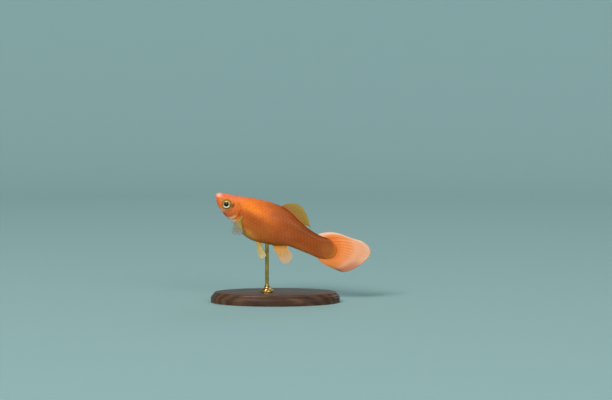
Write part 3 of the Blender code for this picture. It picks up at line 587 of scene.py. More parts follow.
def skin_at(place, turn, lift=0.0):
    """Points of the finished skin in the straight fish, or lifted straight out of it."""
    points, out = bare(place, turn), outward(place, turn)
    stands = relief(points.reshape(-1, 3)).reshape(place.shape) - coat_depth(place) + lift
    stands = stands * np.sqrt(1 - (np.clip(place - STANDARD_LENGTH, 0, END_ROUND) / END_ROUND) ** 2)
    return points + out * stands[..., None]


print("under the full coat the skin lies", round(float(coat_depth(STANDARD_LENGTH)) / MM, 2), "mm deep")

# %% [markdown]
# ## The skin
# The skin is one mesh from the lips to the tail, so that no seam shows. A grid is rolled into a tube, as a
# sheet of clay round a core: one direction runs along the body and the other round it. The rows are close on
# the head, where the relief is fine, and wider behind it. The grid's own flat map is the skin's unwrap. A
# second map says where each point lies on the fish, which the painted markings read.


# %% Roll the skin
def reshape(piece, places):
    """Moves every corner of a mesh to its place, in metres."""
    piece.data.vertices.foreach_set("co", np.asarray(places, np.float32).ravel())
    piece.data.update()


def corners(piece):
    """The places of a mesh's corners."""
    found = np.empty(len(piece.data.vertices) * 3, np.float32)
    piece.data.vertices.foreach_get("co", found)
    return found.reshape(-1, 3).astype(float)


def grid(name, columns, rows):
    """A flat grid primitive, with its corners' shares across and along it from 0 to 1."""
    bpy.ops.object.select_all(action="DESELECT")
    bpy.ops.mesh.primitive_grid_add(x_subdivisions=columns, y_subdivisions=rows, size=1)
    piece = bpy.context.object
    piece.name = piece.data.name = name
    piece.data.uv_layers[0].name = "OFBake"
    at = corners(piece)
    return piece, at[:, 0] + 0.5, at[:, 1] + 0.5


def add_map(piece, name, across, upward):
    """A UV map that holds two numbers for each corner of the mesh."""
    layer = piece.data.uv_layers.new(name=name)
    loops = np.empty(len(piece.data.loops), np.int32)
    piece.data.loops.foreach_get("vertex_index", loops)
    values = np.stack([across, upward], -1)[loops]
    layer.uv.foreach_set("vector", values.astype(np.float32).ravel())


def select_only(piece):
    """Selects one piece and nothing else."""
    bpy.ops.object.select_all(action="DESELECT")
    piece.select_set(True)
    bpy.context.view_layer.objects.active = piece


def close_up(piece):
    """Merges corners that meet, turns all faces outwards and shades them."""
    select_only(piece)
    bpy.ops.object.mode_set(mode="EDIT")
    bpy.ops.mesh.select_all(action="SELECT")
    bpy.ops.mesh.remove_doubles(threshold=1e-6)
    bpy.ops.mesh.normals_make_consistent(inside=False)
    bpy.ops.object.mode_set(mode="OBJECT")
    bpy.ops.object.shade_smooth()


def count(piece):
    """How many triangles a piece has."""
    return sum(len(polygon.vertices) - 2 for polygon in piece.data.polygons)


SKIN_TURNS = 240
SNOUT_ROWS, BODY_ROWS, END_ROWS = 19, 134, 7
HEAD_END, HEAD_STEP = 25 * PER_CENT, 0.15 * MM
snout_rows = SNOUT_ROUNDING * (1 - np.cos(np.linspace(0, math.pi / 2, SNOUT_ROWS)[:-1]))
head_rows = np.arange(SNOUT_ROUNDING, HEAD_END, HEAD_STEP)
body_rows = np.linspace(HEAD_END, STANDARD_LENGTH, BODY_ROWS)
end_rows = STANDARD_LENGTH + END_ROUND * np.sin(np.linspace(0, math.pi / 2, END_ROWS)[1:])
skin_places = np.concatenate([snout_rows, head_rows, body_rows, end_rows])
skin, along, around = grid("skin", len(skin_places) - 1, SKIN_TURNS)
place = np.interp(along, np.linspace(0, 1, len(skin_places)), skin_places)
turn = around * 2 * math.pi
reshape(skin, onto_stand(skin_at(place, turn)))
add_map(skin, "Lie", place / STANDARD_LENGTH, np.abs((turn + math.pi) % (2 * math.pi) - math.pi) / math.pi)
close_up(skin)
print("the skin has", count(skin), "triangles")

# %% [markdown]
# ## One scale
# A swordtail's scales are thin rounded plates, about as long as they are high. The front of each is rooted in
# the skin, and only the rear shows, over the roots of the next ones. One plate is modelled once, flat and in
# its real size: a small grid whose rear edge is rounded, which the Solidify modifier makes solid.

# %% Model one plate
PLATE_LENGTH, PLATE_HEIGHT, PLATE_THICKNESS = 2.9 * MM, 3.1 * MM, 0.05 * MM
plate, along, across = grid("plate", 3, 8)
across = across * 2 - 1
# The rear edge is part of an oval, and the plate is a little lower at its root and its rear than between
ROUNDED, DRAWN_IN = 0.40, 0.20
rear = (1 - ROUNDED) + ROUNDED * np.sqrt(1 - 0.97 * across**2)
waisted = (1 - DRAWN_IN) + DRAWN_IN * np.sin(np.minimum(along * 1.15, 1) * math.pi)
flat_x = PLATE_LENGTH * along * rear
flat_y = PLATE_HEIGHT / 2 * across * waisted
reshape(plate, np.stack([flat_x, flat_y, np.zeros(len(along))], -1))
thick = plate.modifiers.new("thickness", "SOLIDIFY")
thick.thickness = PLATE_THICKNESS
thick.offset = 0
bpy.ops.object.modifier_apply(modifier="thickness")
PLATE_POINTS = corners(plate)
PLATE_FACES = np.array([list(polygon.vertices) for polygon in plate.data.polygons])
bpy.data.objects.remove(plate)
print("one plate has", len(PLATE_FACES), "faces")

# %% [markdown]
# ## The coat of scales
# Scales stand in a brick pattern: every second row is set half a plate back. The rows run along the body,
# counted from the middle of the flank, so that the back and the belly cut them off where the body gets slim,
# as on the real fish. Towards the snout and the tail fin both the plates and the steps between them shrink,
# so one pattern covers head and body. A copy of the plate is laid at each root by its place along the body
# and its way round it, and its rear edge is lifted, so that it lies over its neighbours. Behind the gill
# cover the coat begins with the first whole plates past its slit. Where a plate would pass over the middle of
# the back, that part of it dips under the skin. One row of its own closes the coat along the back, and
# another along the belly.

# %% Where the plates go
ROW_STEP = 1.62 * MM
STATION_STEP = 0.86 * MM
ARC_PLACES = np.linspace(4 * PER_CENT, STANDARD_LENGTH, 120)
ARC_TURNS = np.linspace(-math.pi / 2, 3 * math.pi / 2, 721)
# The turns are half a degree apart, and these are where the back, the flank's middle and the belly lie
BACK_TURN, FLANK_TURN, BELLY_TURN = 180, 360, 540
arc_points = bare(*np.meshgrid(ARC_PLACES, ARC_TURNS, indexing="ij"))
arc_steps = np.linalg.norm(np.diff(arc_points, axis=1), axis=2)
ARCS = np.concatenate([np.zeros((len(ARC_PLACES), 1)), np.cumsum(arc_steps, 1)], 1)
ARCS -= ARCS[:, FLANK_TURN : FLANK_TURN + 1]


def turn_at(place, arc):
    """The turn round the body that lies this far from the flank's middle, back to belly, on its surface."""
    index = np.clip(np.interp(place, ARC_PLACES, np.arange(len(ARC_PLACES))), 0, len(ARC_PLACES) - 1.001)
    low = index.astype(int)
    part = index - low
    found = np.empty(place.shape)
    for i in np.ndindex(place.shape):
        row = ARCS[low[i]] * (1 - part[i]) + ARCS[low[i] + 1] * part[i]
        found[i] = np.interp(arc[i], row, ARC_TURNS)
    return found


def arc_ends(place):
    """How far the back and the belly are from the flank's middle, round the body."""
    return [np.interp(place, ARC_PLACES, ARCS[:, i]) for i in (BACK_TURN, BELLY_TURN)]


half_girth = float(np.diff(arc_ends(40 * PER_CENT))[0])
print("half the girth at the deepest place is", round(half_girth / MM, 1), "mm")


# %% Find the roots of the plates
def plate_size(place):
    """How large the plates are at a place, as a share of the largest."""
    share = place / PER_CENT
    return 1 - 0.40 * ramp(-share, -27, -12) - 0.22 * ramp(share, 82, 97)


fine_places = np.linspace(6 * PER_CENT, 98 * PER_CENT, 2000)
step_here = STATION_STEP * plate_size(fine_places)
steps_passed = np.cumsum(np.diff(fine_places, prepend=fine_places[0]) / step_here)
STATIONS = np.interp(np.arange(math.floor(steps_passed[-1]) + 1), steps_passed, fine_places)
# How much of a row's step the last row keeps clear of a midline, and where the midlines' own rows end
MIDLINE_CLEARANCE = 0.55
MIDLINE_END = 0.885 * STANDARD_LENGTH


def scaled_from(arc, back, belly):
    """Where the coat begins on the head: first on its top, then on the cheek, and last on the throat."""
    on_cheek = 5.0 * ramp(arc, back * 0.60, back * 0.30)
    on_throat = 14.0 * ramp(arc, belly * 0.45, belly * 0.75)
    return (7.5 + on_cheek + on_throat) * PER_CENT


def find_roots():
    """Roots of plates in a brick pattern, as place, row, way round and whether they lie on the midline."""
    found = []
    for i, place in enumerate(STATIONS):
        back, belly = arc_ends(place)
        row = ROW_STEP * float(plate_size(place))
        first, last = back / row + MIDLINE_CLEARANCE, belly / row - MIDLINE_CLEARANCE
        for k in range(math.ceil(first), math.floor(last) + 1):
            if (i + k) % 2 == 0 and place > scaled_from(k * row, back, belly):
                found.append((place, k, k * row, 0))
        if i % 2 == 0:
            for end, side in ((back, -1), (belly, 1)):
                if scaled_from(end, back, belly) < place < MIDLINE_END:
                    found.append((place, 0, end, side))
    return np.array(found)


plate_roots = find_roots()
print("a side of the fish has", len(STATIONS), "stations, and the coat", len(plate_roots), "roots")


# %% Lay the plates
# How high a plate's rear edge rises, and more on a midline, how deep its root sits, and how far it arches
RISE, MIDLINE_RISE, ROOT_DEPTH, CROWN = 0.085 * MM, 0.03 * MM, 0.06 * MM, 0.05 * MM
# How deep a part goes that dives under the skin, and how far from the eye's middle the plates stay
SUNK, EYE_MARGIN = 0.30 * MM, SOCKET_RADIUS + 0.80 * MM
# How unlike each other the plates lean and are in size
LEAN_SPREAD, SIZE_SPREAD = 0.02, 0.015


def lay_plates(found, seed):
    """Where the near side's plates go: the place, turn and lift of each corner, and each plate's own root."""
    draw = np.random.default_rng(seed)
    place0, row0, arc0, midline = (found[:, i : i + 1] for i in range(4))
    a, b, c = (PLATE_POINTS[:, i][None] for i in range(3))
    lean = draw.normal(0, LEAN_SPREAD, place0.shape) * (midline == 0)
    size = plate_size(place0) * draw.normal(1, SIZE_SPREAD, place0.shape)
    share = a / PLATE_LENGTH
    place = place0 + (a - b * lean) * size
    back, belly = arc_ends(place)
    line = np.where(midline < 0, back, belly)
    line = np.where(midline == 0, row0 * ROW_STEP * plate_size(place), line)
    turn = turn_at(place, line + (b + a * lean) * size)
    rise = (RISE + MIDLINE_RISE * np.abs(midline)) * share**1.3
    crown = CROWN * (1 - (2 * b / PLATE_HEIGHT) ** 2)
    lift = (rise - ROOT_DEPTH * (1 - ramp(share, 0, 0.35)) + crown) * size
    # A part dives under the skin where it would cross the slit behind the gill cover, or a midline
    flat = bare(place, turn).reshape(-1, 3)
    edge = cover_distance(flat).reshape(place.shape)
    eye = np.hypot(*(flat[:, (0, 2)] - (EYE_PLACE, EYE_HEIGHT)).T).reshape(place.shape)
    free = free_edge(flat[:, 0], flat[:, 2])[0].reshape(place.shape) * (place < 0.3 * STANDARD_LENGTH)
    on_cover = (edge * share).mean(1, keepdims=True) < 0
    dive = np.where(on_cover, 0, free * (1 - ramp(edge, 0.04 * MM, 0.20 * MM)))
    dive = np.where((midline == 0) & ((turn < 0) | (turn > math.pi)), 1, dive)
    lift = lift * (1 - dive) - SUNK * dive + c
    # Plates that still reach over the slit, dive for the most part or touch the eye's rim are left out
    near_slit = np.where(on_cover, edge > -0.30 * MM, (edge < 0.10 * MM) & (share > 0.2))
    margin = (near_slit & (free > 0.3)).any(1)
    kept = (dive.mean(1) < 0.7) & ~margin & (eye > EYE_MARGIN).all(1) & (place.max(1) < STANDARD_LENGTH)
    root = np.stack([place0[kept, 0], turn_at(place0, arc0)[kept, 0]], -1)
    tint = draw.uniform(0, 1, kept.sum())
    return place[kept], turn[kept], lift[kept], root, tint, midline[kept, 0] == 0


laid = lay_plates(plate_roots, seed=7)
print("the near side and the midlines carry", len(laid[0]), "plates")

# %% Make the coat
# On the unwrap each plate has a patch of its own where its root is, and the patch is this wide
PATCH = 0.003


def make_coat(name, place, turn, lift, root, tint, twin):
    """The plates as one mesh. The far side's are mirror images of the near side's, save the midlines' own."""
    points = skin_at(place, turn, lift)
    every = onto_stand(np.concatenate([points, points[twin] * (1, -1, 1)]).reshape(-1, 3))
    near, plates, each = len(place), len(place) + twin.sum(), len(PLATE_POINTS)
    faces = PLATE_FACES[None] + each * np.arange(plates)[:, None, None]
    faces[near:] = faces[near:, :, ::-1]
    mesh = bpy.data.meshes.new(name)
    mesh.from_pydata(every, [], faces.reshape(-1, 4).tolist())
    piece = bpy.data.objects.new(name, mesh)
    bpy.context.scene.collection.objects.link(piece)
    own_x = np.tile(PLATE_POINTS[:, 0] / PLATE_LENGTH, plates)
    own_y = np.tile(0.5 + PLATE_POINTS[:, 1] / PLATE_HEIGHT, plates)
    root_x = np.concatenate([root[:, 0], root[twin, 0]]) / STANDARD_LENGTH
    root_y = np.concatenate([root[:, 1], 2 * math.pi - root[twin, 1]]) / (2 * math.pi)
    unwrap_x = np.repeat(np.clip(root_x, 0, 1), each) + PATCH * (own_x - 0.5)
    unwrap_y = np.repeat(np.clip(root_y, 0, 1), each) + PATCH * (own_y - 0.5)
    add_map(piece, "OFBake", np.clip(unwrap_x, 0, 1), np.clip(unwrap_y, 0, 1))
    lengthwise = np.concatenate([place, place[twin]]).ravel() / STANDARD_LENGTH
    girth = np.clip(np.abs(np.concatenate([turn, turn[twin]])) / math.pi, 0, 1)
    add_map(piece, "Lie", lengthwise, girth.ravel())
    add_map(piece, "Plate", own_x, own_y)
    add_map(piece, "Tint", np.repeat(np.concatenate([tint, tint[twin]]), each), np.zeros(len(every)))
    select_only(piece)
    bpy.ops.object.shade_smooth_by_angle(angle=math.radians(40))
    return piece


scales = make_coat("scales", *laid)
print("the coat has", count(scales), "triangles")

# %% [markdown]
# ## The eyes
# A fish's eye is a flattened ball that sits in a hollow of the skin, without lids. Its lens is a real ball
# that bulges out through the pupil. Each eye is a sphere pressed flat, turned into its frame on the cheek,
# with a low dome pushed out for the lens. A map of its own holds how far each point is in front of and above
# the middle, which the iris is painted by.

# %% Model the eyes
PUPIL_RADIUS, PUPIL_BULGE = 1.21 * MM, 0.17 * MM
PUPIL_FORWARD, PUPIL_UP = 0.16 * MM, 0.14 * MM
RIM_DIP, RIM_WIDTH = 0.05 * MM, 0.22 * MM
EYE_SIDES, EYE_BELTS = 96, 64


def make_eye(name, side):
    """One eye ball with the bulge of its lens."""
    bpy.ops.object.select_all(action="DESELECT")
    bpy.ops.mesh.primitive_uv_sphere_add(segments=EYE_SIDES, ring_count=EYE_BELTS, radius=1)
    eye = bpy.context.object
    eye.name = eye.data.name = name
    bpy.ops.object.mode_set(mode="EDIT")
    bpy.ops.mesh.select_all(action="SELECT")
    bpy.ops.transform.resize(value=(EYE_RADIUS, EYE_RADIUS, EYE_DEPTH), center_override=(0, 0, 0))
    bpy.ops.object.mode_set(mode="OBJECT")
    at = corners(eye)
    forward, up = at[:, 0] * side, at[:, 1]
    from_pupil = np.hypot(forward - PUPIL_FORWARD, up - PUPIL_UP)
    front = at[:, 2] > 0
    dome = np.sqrt(np.maximum(0, 1 - (from_pupil / PUPIL_RADIUS) ** 2))
    rim = hump(from_pupil, PUPIL_RADIUS, RIM_WIDTH) * (from_pupil > PUPIL_RADIUS)
    at[:, 2] += front * (PUPIL_BULGE * dome - RIM_DIP * rim)
    frame_here = np.array(EYE_FRAMES[side])
    reshape(eye, onto_stand(at @ frame_here[:3, :3].T + frame_here[:3, 3]))
    add_map(eye, "Iris", forward / EYE_RADIUS, np.where(front, up / EYE_RADIUS, 2))
    close_up(eye)
    return eye


eyes = {"left": make_eye("left_eye", LEFT), "right": make_eye("right_eye", RIGHT)}
print("an eye has", count(eyes["left"]), "triangles")

# %% [markdown]
# ## The fins
# A fin is a thin skin stretched over rays, which branch on their way out. Each is one closed sheet: a grid
# that is folded over the first and the last ray, so that both faces meet there, at the root and along the
# edge. Between its faces the sheet is as thick as its membrane, and thicker where a ray or a branch runs. The
# roots are sunk into the flesh, which hides them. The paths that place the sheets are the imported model's.

# %% Paths of the fins
DORSAL_ROOT, ANAL_ROOT = (48.6, 71.0), (54.9, 65.0)
DORSAL_EDGE = ((50.0, 15.2), (57.2, 21.4), (64.2, 22.6), (75.2, 7.2))
ANAL_EDGE = ((65.8, -25.4), (70.3, -26.6), (73.8, -23.8), (71.5, -16.9))
EDGE_LEAD = 0.35
TAIL_EDGE = ((108.5, -14.4), (117.0, -14.2), (120.5, -4.0), (136.5, 12.6), (113.5, 13.9))
TAIL_BOW = (0.9, 3.0)
TAIL_CURL = 3.5
TAIL_LEAD = 7.5 * PER_CENT
TAIL_SINK = 18 * MM
PECTORAL_EDGE = ((21.6, 11.4, -16.4), (24.0, 14.4, -23.2), (31.4, 12.6, -16.6))
PELVIC_ROOT = ((42.4, 2.6), (45.8, 1.7))
PELVIC_EDGE = ((48.6, 6.6, -28.6), (52.8, 5.6, -30.6), (53.4, 4.2, -25.0))


def bezier(points, t):
    """Points of the Bezier curve with these control points, in per cent, as metres."""
    layer = [np.outer(np.ones(len(t)), point) * PER_CENT for point in points]
    while len(layer) > 1:
        layer = [a + (b - a) * t[:, None] for a, b in zip(layer, layer[1:])]
    return layer[0]


def between(root, edge, v):
    return root + (edge - root) * v[:, None]


def median_path(root_range, edge_curve, first_edge, field, bow):
    """The path of a fin on the back or the belly, from its root's places and its edge's curve."""
    side = 1 if field == "back" else -1

    def path(u, v):
        place = (root_range[0] + (root_range[1] - root_range[0]) * u) * PER_CENT
        root = np.stack([place, 0 * u, size_along(field, place) + side * GAP], -1)
        x, z = bezier(edge_curve, first_edge + (1 - first_edge) * u * (1 + EDGE_LEAD * (1 - u))).T
        bowed = np.stack([0 * u, 0 * u, side * bow * PER_CENT * 4 * v * (1 - v)], -1)
        return between(root, np.stack([x, 0 * u, z], -1), v) + bowed

    return path


def tail_root(side, lift):
    """The tail fin's root: round the end of the flesh from the belly at -1, then on the back to 1."""
    along = side * (1 + TAIL_LEAD / (3 * END_BULGE) * (side > 0))
    round_end = np.minimum(along, 1)
    ahead = 3 * END_BULGE * (along - round_end)
    drop = END_MIDDLE + END_HALF - float(size_along("back", STANDARD_LENGTH - END_BULGE - TAIL_LEAD))
    place = STANDARD_LENGTH - END_BULGE * np.abs(round_end) ** 3 - ahead
    height = END_MIDDLE + END_HALF * round_end - drop * ahead / TAIL_LEAD
    out = np.stack([1 + 0 * side, 0 * side, 3 * END_BULGE * round_end * np.abs(round_end) / END_HALF], -1)
    out /= np.linalg.norm(out, axis=1, keepdims=True)
    return np.stack([place, 0 * side, height], -1) + out * lift[:, None]


def tail_path(u, v):
    """The path of the tail fin, from the lowest ray to the highest. Its root goes straight into the flesh."""
    side = 2 * u - 1
    root = tail_root(side, GAP + 0.1 * MM + TAIL_SINK * np.minimum(v, 0))
    v = np.maximum(v, 0)
    x, z = bezier(TAIL_EDGE, u).T
    bow = side * np.where(side < 0, TAIL_BOW[0], TAIL_BOW[1]) * PER_CENT * 6.75 * v * (1 - v) ** 2
    curl = TAIL_CURL * PER_CENT * (1 - u) ** 2 * v**2
    return between(root, np.stack([x, 0 * u, z], -1), v) + np.stack([0 * u, curl, bow], -1)


def pectoral_path(side):
    """The path of a breast fin, held out and down from the flank behind the gill cover."""

    def path(u, v):
        place, height = bezier(PECTORAL_ROOT, u).T
        slope = (flank_width(place, height + GAP) - flank_width(place, height - GAP)) / (2 * GAP)
        away = np.stack([0 * u, 1 + 0 * u, -slope], -1)
        away *= (GAP + 0.1 * MM) / np.linalg.norm(away, axis=1, keepdims=True)
        root = np.stack([place, flank_width(place, height), height], -1) + away
        point = between(root, bezier(PECTORAL_EDGE, u), v)
        point[:, 1] += 1.5 * PER_CENT * 4 * v * (1 - v)
        return point * (1, side, 1)

    return path


def pelvic_path(side):
    """The path of a belly fin, which hangs back and a little out from beside the keel of the belly."""

    def path(u, v):
        place, out = bezier(PELVIC_ROOT, u).T
        waist, belly = size_along("waist", place), size_along("belly", place)
        power = size_along("belly_power", place)
        drop = (1 - (out / size_along("half_width", place)) ** power) ** (1 / power)
        root = np.stack([place, out, waist + (belly - waist) * drop - GAP - 0.05 * MM], -1)
        return between(root, bezier(PELVIC_EDGE, u), v) * (1, side, 1)

    return path


print("the tail fin reaches", round(onto_stand(tail_path(np.array([0.75]), np.ones(1)))[0, 0] / MM, 1), "mm")


# %% Where the rays run
# A ray's half width and what each fork takes from it, and how far the forks spread, in steps between rays
RAY_WIDTH, RAY_NARROWS = 0.15, (0.04, 0.03)
FORK_SPREAD, FORK_RUN = (0.22, 0.11), (0.30, 0.25)


def ray_share(u, v, rays, forks):
    """How far each point stands on a ray or one of its branches, from 0 between them to 1 on one."""
    at = u * (rays - 1)
    ray = np.round(at)
    plain = (ray == 0) | (ray == rays - 1)
    first, second = (
        np.where(plain, 0, spread * ramp(v, fork - 0.05, fork + run))
        for spread, fork, run in zip(FORK_SPREAD, forks, FORK_RUN)
    )
    narrowed = [less * ramp(v, fork, fork + 0.2) for less, fork in zip(RAY_NARROWS, forks)]
    width = RAY_WIDTH - narrowed[0] - narrowed[1]
    share = np.zeros(len(u))
    for a in (-1, 1):
        for b in (-1, 1):
            off = at - ray - a * first - b * second
            share = np.maximum(share, 1 - (off / width) ** 2)
    return np.maximum(share, 0)


print("past its forks, a ray's branches spread over", round(2 * sum(FORK_SPREAD), 2), "of a step")

# %% Build the fins
# Half thicknesses at the root and at the edge
MEMBRANE_HALF = (0.13 * MM, 0.035 * MM)
RIDGE_HALF = (0.13 * MM, 0.025 * MM)
# How far the rays' tips stand out of the edge, and how unlike they are worn, as shares of the fin's depth
FRAY, WORN = 0.006, (-1, 0.2)
TANGENT_STEP = 0.004


def make_fin(name, path, rays, rows, forks, per_ray=12, sink=0.06, wave=0.0):
    """A fin as one closed sheet over its rays. Sink is how much of its depth is hidden in the flesh."""
    columns = (rays - 1) * per_ray
    fin, across, out = grid(name, 2 * columns, rows)
    u = 1 - np.abs(2 * across - 1)
    v = (1 + sink) * out - sink
    face = np.where(across < 0.5, 1.0, -1.0)
    share = ray_share(u, np.maximum(v, 0), rays, forks)
    draw = np.random.default_rng(1)
    worn = np.interp(u * (rays - 1), np.arange(rays), draw.uniform(*WORN, rays))
    longer = v + FRAY * ramp(v, 0.7, 1.0) * (share - 0.4 + worn)
    ahead, behind = np.minimum(u + TANGENT_STEP, 1), np.maximum(u - TANGENT_STEP, 0)
    du = path(ahead, longer) - path(behind, longer)
    dv = path(u, longer + TANGENT_STEP) - path(u, longer - TANGENT_STEP)
    normal = np.cross(du, dv)
    normal /= np.maximum(np.linalg.norm(normal, axis=1, keepdims=True), 1e-30)
    late = np.clip(v, 0, 1) ** 1.5
    half = MEMBRANE_HALF[0] + (MEMBRANE_HALF[1] - MEMBRANE_HALF[0]) * late
    half += share * (RIDGE_HALF[0] + (RIDGE_HALF[1] - RIDGE_HALF[0]) * late) * ramp(v, -0.12, 0.0)
    # The sheet closes over its first and last three columns, and at its root and edge
    half *= np.sqrt(np.clip(np.minimum(u, 1 - u) * columns / 3, 0, 1)) * (out > 1e-6) * (out < 1 - 1e-6)
    sway = wave * np.sin(2 * math.pi * (1.6 * u + 0.35 * v)) * np.clip(v, 0, 1) ** 2
    reshape(fin, onto_stand(path(u, longer) + normal * (face * half + sway)[:, None]))
    add_map(fin, "Ray", u, np.clip(v, 0, 1))
    add_map(fin, "Ridge", share, np.clip(v, 0, 1))
    close_up(fin)
    return fin


back_path = median_path(DORSAL_ROOT, DORSAL_EDGE, 0.12, "back", 0.4)
vent_path = median_path(ANAL_ROOT, ANAL_EDGE, 0.0, "belly", 0.5)
fins = {
    "dorsal": make_fin("dorsal", back_path, 14, 50, (0.52, 0.78), sink=0.25),
    "anal": make_fin("anal", vent_path, 9, 46, (0.4, 0.75), sink=0.2),
    "tail": make_fin("tail", tail_path, 18, 72, (0.30, 0.62), wave=0.10 * MM, per_ray=10),
}
for word, side in (("left", LEFT), ("right", RIGHT)):
    for kind, path, rays, rows in (("pectoral", pectoral_path, 13, 38), ("pelvic", pelvic_path, 7, 32)):
        name = f"{kind}_{word}"
        fins[name] = make_fin(name, path(side), rays, rows, (0.4, 0.75), sink=0.15)
print("the fins have", sum(count(fin) for fin in fins.values()), "triangles")

# %% [markdown]
# ## The stand
# The base is a small oval board of walnut with a moulded edge, the kind that model makers turn or rout. It is
# an oval that is extruded and resized step by step, with the CAD board's own steps, and a fine bevel softens
# each corner. The rod is turned brass with a round foot. It goes up through the belly's skin, so that its end
# needs no cut.

# %% Model the base
BASE_LENGTH, BASE_WIDTH, BASE_THICKNESS = 62 * MM, 34 * MM, 5 * MM
BASE_SIDES, ROD_SIDES = 144, 64
# Each step of the moulding is how far it goes in and how far up, in millimetres
BASE_MOULDING = ((0.45, 0.25), (0.0, 0.55), (0.35, 0.15), (0.75, 0.75), (0.0, 0.25), (0.5, 0.35))
inset, height = 0.0, BASE_THICKNESS - sum(rise for _, rise in BASE_MOULDING) * MM
oval_rings = [(BASE_LENGTH / 2, BASE_WIDTH / 2, 0.0), (BASE_LENGTH / 2, BASE_WIDTH / 2, height)]
for step_in, rise in BASE_MOULDING:
    inset, height = inset + step_in * MM, height + rise * MM
    oval_rings.append((BASE_LENGTH / 2 - inset, BASE_WIDTH / 2 - inset, height))
base = turned("stand_board", oval_rings, BASE_SIDES)
soften = base.modifiers.new("softened corners", "BEVEL")
soften.width = 0.13 * MM
soften.segments = 3
soften.limit_method = "ANGLE"
soften.angle_limit = math.radians(28)
bpy.ops.object.modifier_apply(modifier="softened corners")
bpy.ops.object.shade_smooth_by_angle(angle=math.radians(35))
print("the board is", round(corners(base)[:, 2].max() / MM, 2), "mm high and has", count(base), "triangles")

# %% Turn the rod
# Each ring is its radius and its height in millimetres: a round foot, a neck, a small bead and the rod
ROD_PROFILE = (
    (3.05, 5.00),
    (3.20, 5.12),
    (3.20, 5.85),
    (3.05, 6.05),
    (2.60, 6.12),
    (2.50, 6.22),
    (2.42, 6.45),
    (2.00, 6.62),
    (1.50, 6.80),
    (1.26, 7.10),
    (1.16, 7.45),
    (1.30, 7.60),
    (1.34, 7.80),
    (1.30, 8.00),
    (1.05, 8.10),
    (0.95, 8.30),
    (0.90, 8.60),
    (0.90, 24.0),
    (0.90, 28.7),
)
rod_rings = [(radius * MM, radius * MM, height * MM) for radius, height in ROD_PROFILE]
rod_middle = (float(ROD_TOP[0]), float(BELLY_AT_ROD[1]))
rod = turned("stand_rod_turned", rod_rings, ROD_SIDES, rod_middle)
bpy.ops.object.shade_smooth_by_angle(angle=math.radians(45))
print("the rod is", round(ROD_PROFILE[-1][1] - BASE_THICKNESS / MM, 1), "mm long, with its hidden end")

# %% [markdown]
# ## The painted markings
# A museum model is painted with an airbrush: one soft patch of colour over another, on skin and scales alike.
# Some patches are painted light and shade: a highlight band and lip, shade on the flanks, and light from
# below.
# Each patch here is an oval in the side view with a soft edge. All read one set of coordinates, turned with
# the fish, that run in per cent of its length from the snout. A picture could hold the markings too, but
# patches stay sharp at any size and lie alike on both sides. The dusky back, the olive keel and the orange
# root of the tail follow the body's own outline, so they read the map of where each point lies.

# %% The markings as a list of soft patches
# Name, colour, middle along and up, half length and half height, lean in degrees, softness and strength
PATCHES = (
    # The rear's brown is partly the resin's own colour and partly painted shade where the tail turns from the
    # light
    ("rear flank with painted shade", "#9e491d", (92, -4), (57, 60), 0, 0.46, 1.0),
    # Painted light from below, which lightens the underside of the stalk
    ("painted light under the stalk", "#cd6c32", (70, -14.5), (27, 10), -6, 0.8, 1.0),
    ("stalk's end", "#b0602e", (94, -4), (9, 9), 0, 0.8, 0.9),
    # Painted shade that darkens the top of the stalk, against the lamp's sheen there
    ("painted shade on the stalk's back", "#80380f", (79, 4.6), (21, 5), -7, 0.8, 0.9),
    ("back", "#a65428", (52, 13.8), (24.5, 7.3), -10, 0.8, 0.85),
    # Painted shade on the upper flank, between the highlight band and the back
    ("painted shade on the upper flank", "#984012", (53, 6.8), (15, 4.2), -7, 0.9, 0.75),
    # Painted shade on the lower flank, below the band that the light from above reaches
    ("painted shade on the lower flank", "#ab5b27", (38, -9.5), (19, 10.5), -8, 0.75, 0.85),
    # Painted shade on the shoulder behind the gill cover
    ("behind the gill", "#a84b1e", (32.5, -4.2), (17.5, 6.0), 3, 0.9, 0.82),
    ("above the vent fin", "#b6582c", (60.5, -5.5), (10, 8.5), -8, 0.9, 0.9),
    # A painted highlight: the lit band from the nape along the upper flank
    ("painted highlight band", "#ff8629", (27, 4.0), (18, 4.6), 9, 0.85, 1.0),
    # The nape's orange, lightened by a painted highlight
    ("nape with a painted highlight", "#f57f5c", (13, 6.5), (14, 6), -12, 0.8, 0.8),
    ("snout", "#db764c", (4, 0), (7, 5), 0, 0.7, 0.8),
    ("cheek", "#b4593a", (15, -7), (8, 6), 0, 0.8, 0.7),
    ("gill cover's rear", "#8e3614", (23.2, -4.2), (3.6, 5.2), 0, 0.9, 0.6),
    # The belly's gold, lightened by painted light from below
    ("belly", "#dc9742", (31, -16), (14, 5), 0, 0.9, 0.9),
    ("chin", "#dfa490", (7.5, -8.8), (6.5, 3.2), -32, 0.9, 0.9),
    ("throat", "#d8cdc4", (18.6, -12.2), (5.8, 3.6), -14, 0.8, 1.0),
    # A painted highlight on the upper lip
    ("painted highlight on the upper lip", "#f4b49c", (1.8, 1.9), (4.6, 3.0), 0, 0.9, 0.95),
    ("gold cheek", "#e6b262", (19.4, -9.0), (4.2, 2.0), -40, 0.9, 0.9),
    ("gold breast", "#d0a050", (24.6, -11.2), (5.0, 3.2), -30, 0.9, 0.7),
    ("round the eye", "#a87a32", (10.9, -2.4), (5.2, 5.2), 0, 0.45, 0.8),
    ("spot behind the eye", "#5a2e12", (15.4, -1.0), (1.9, 3.2), 0, 0.9, 0.85),
)
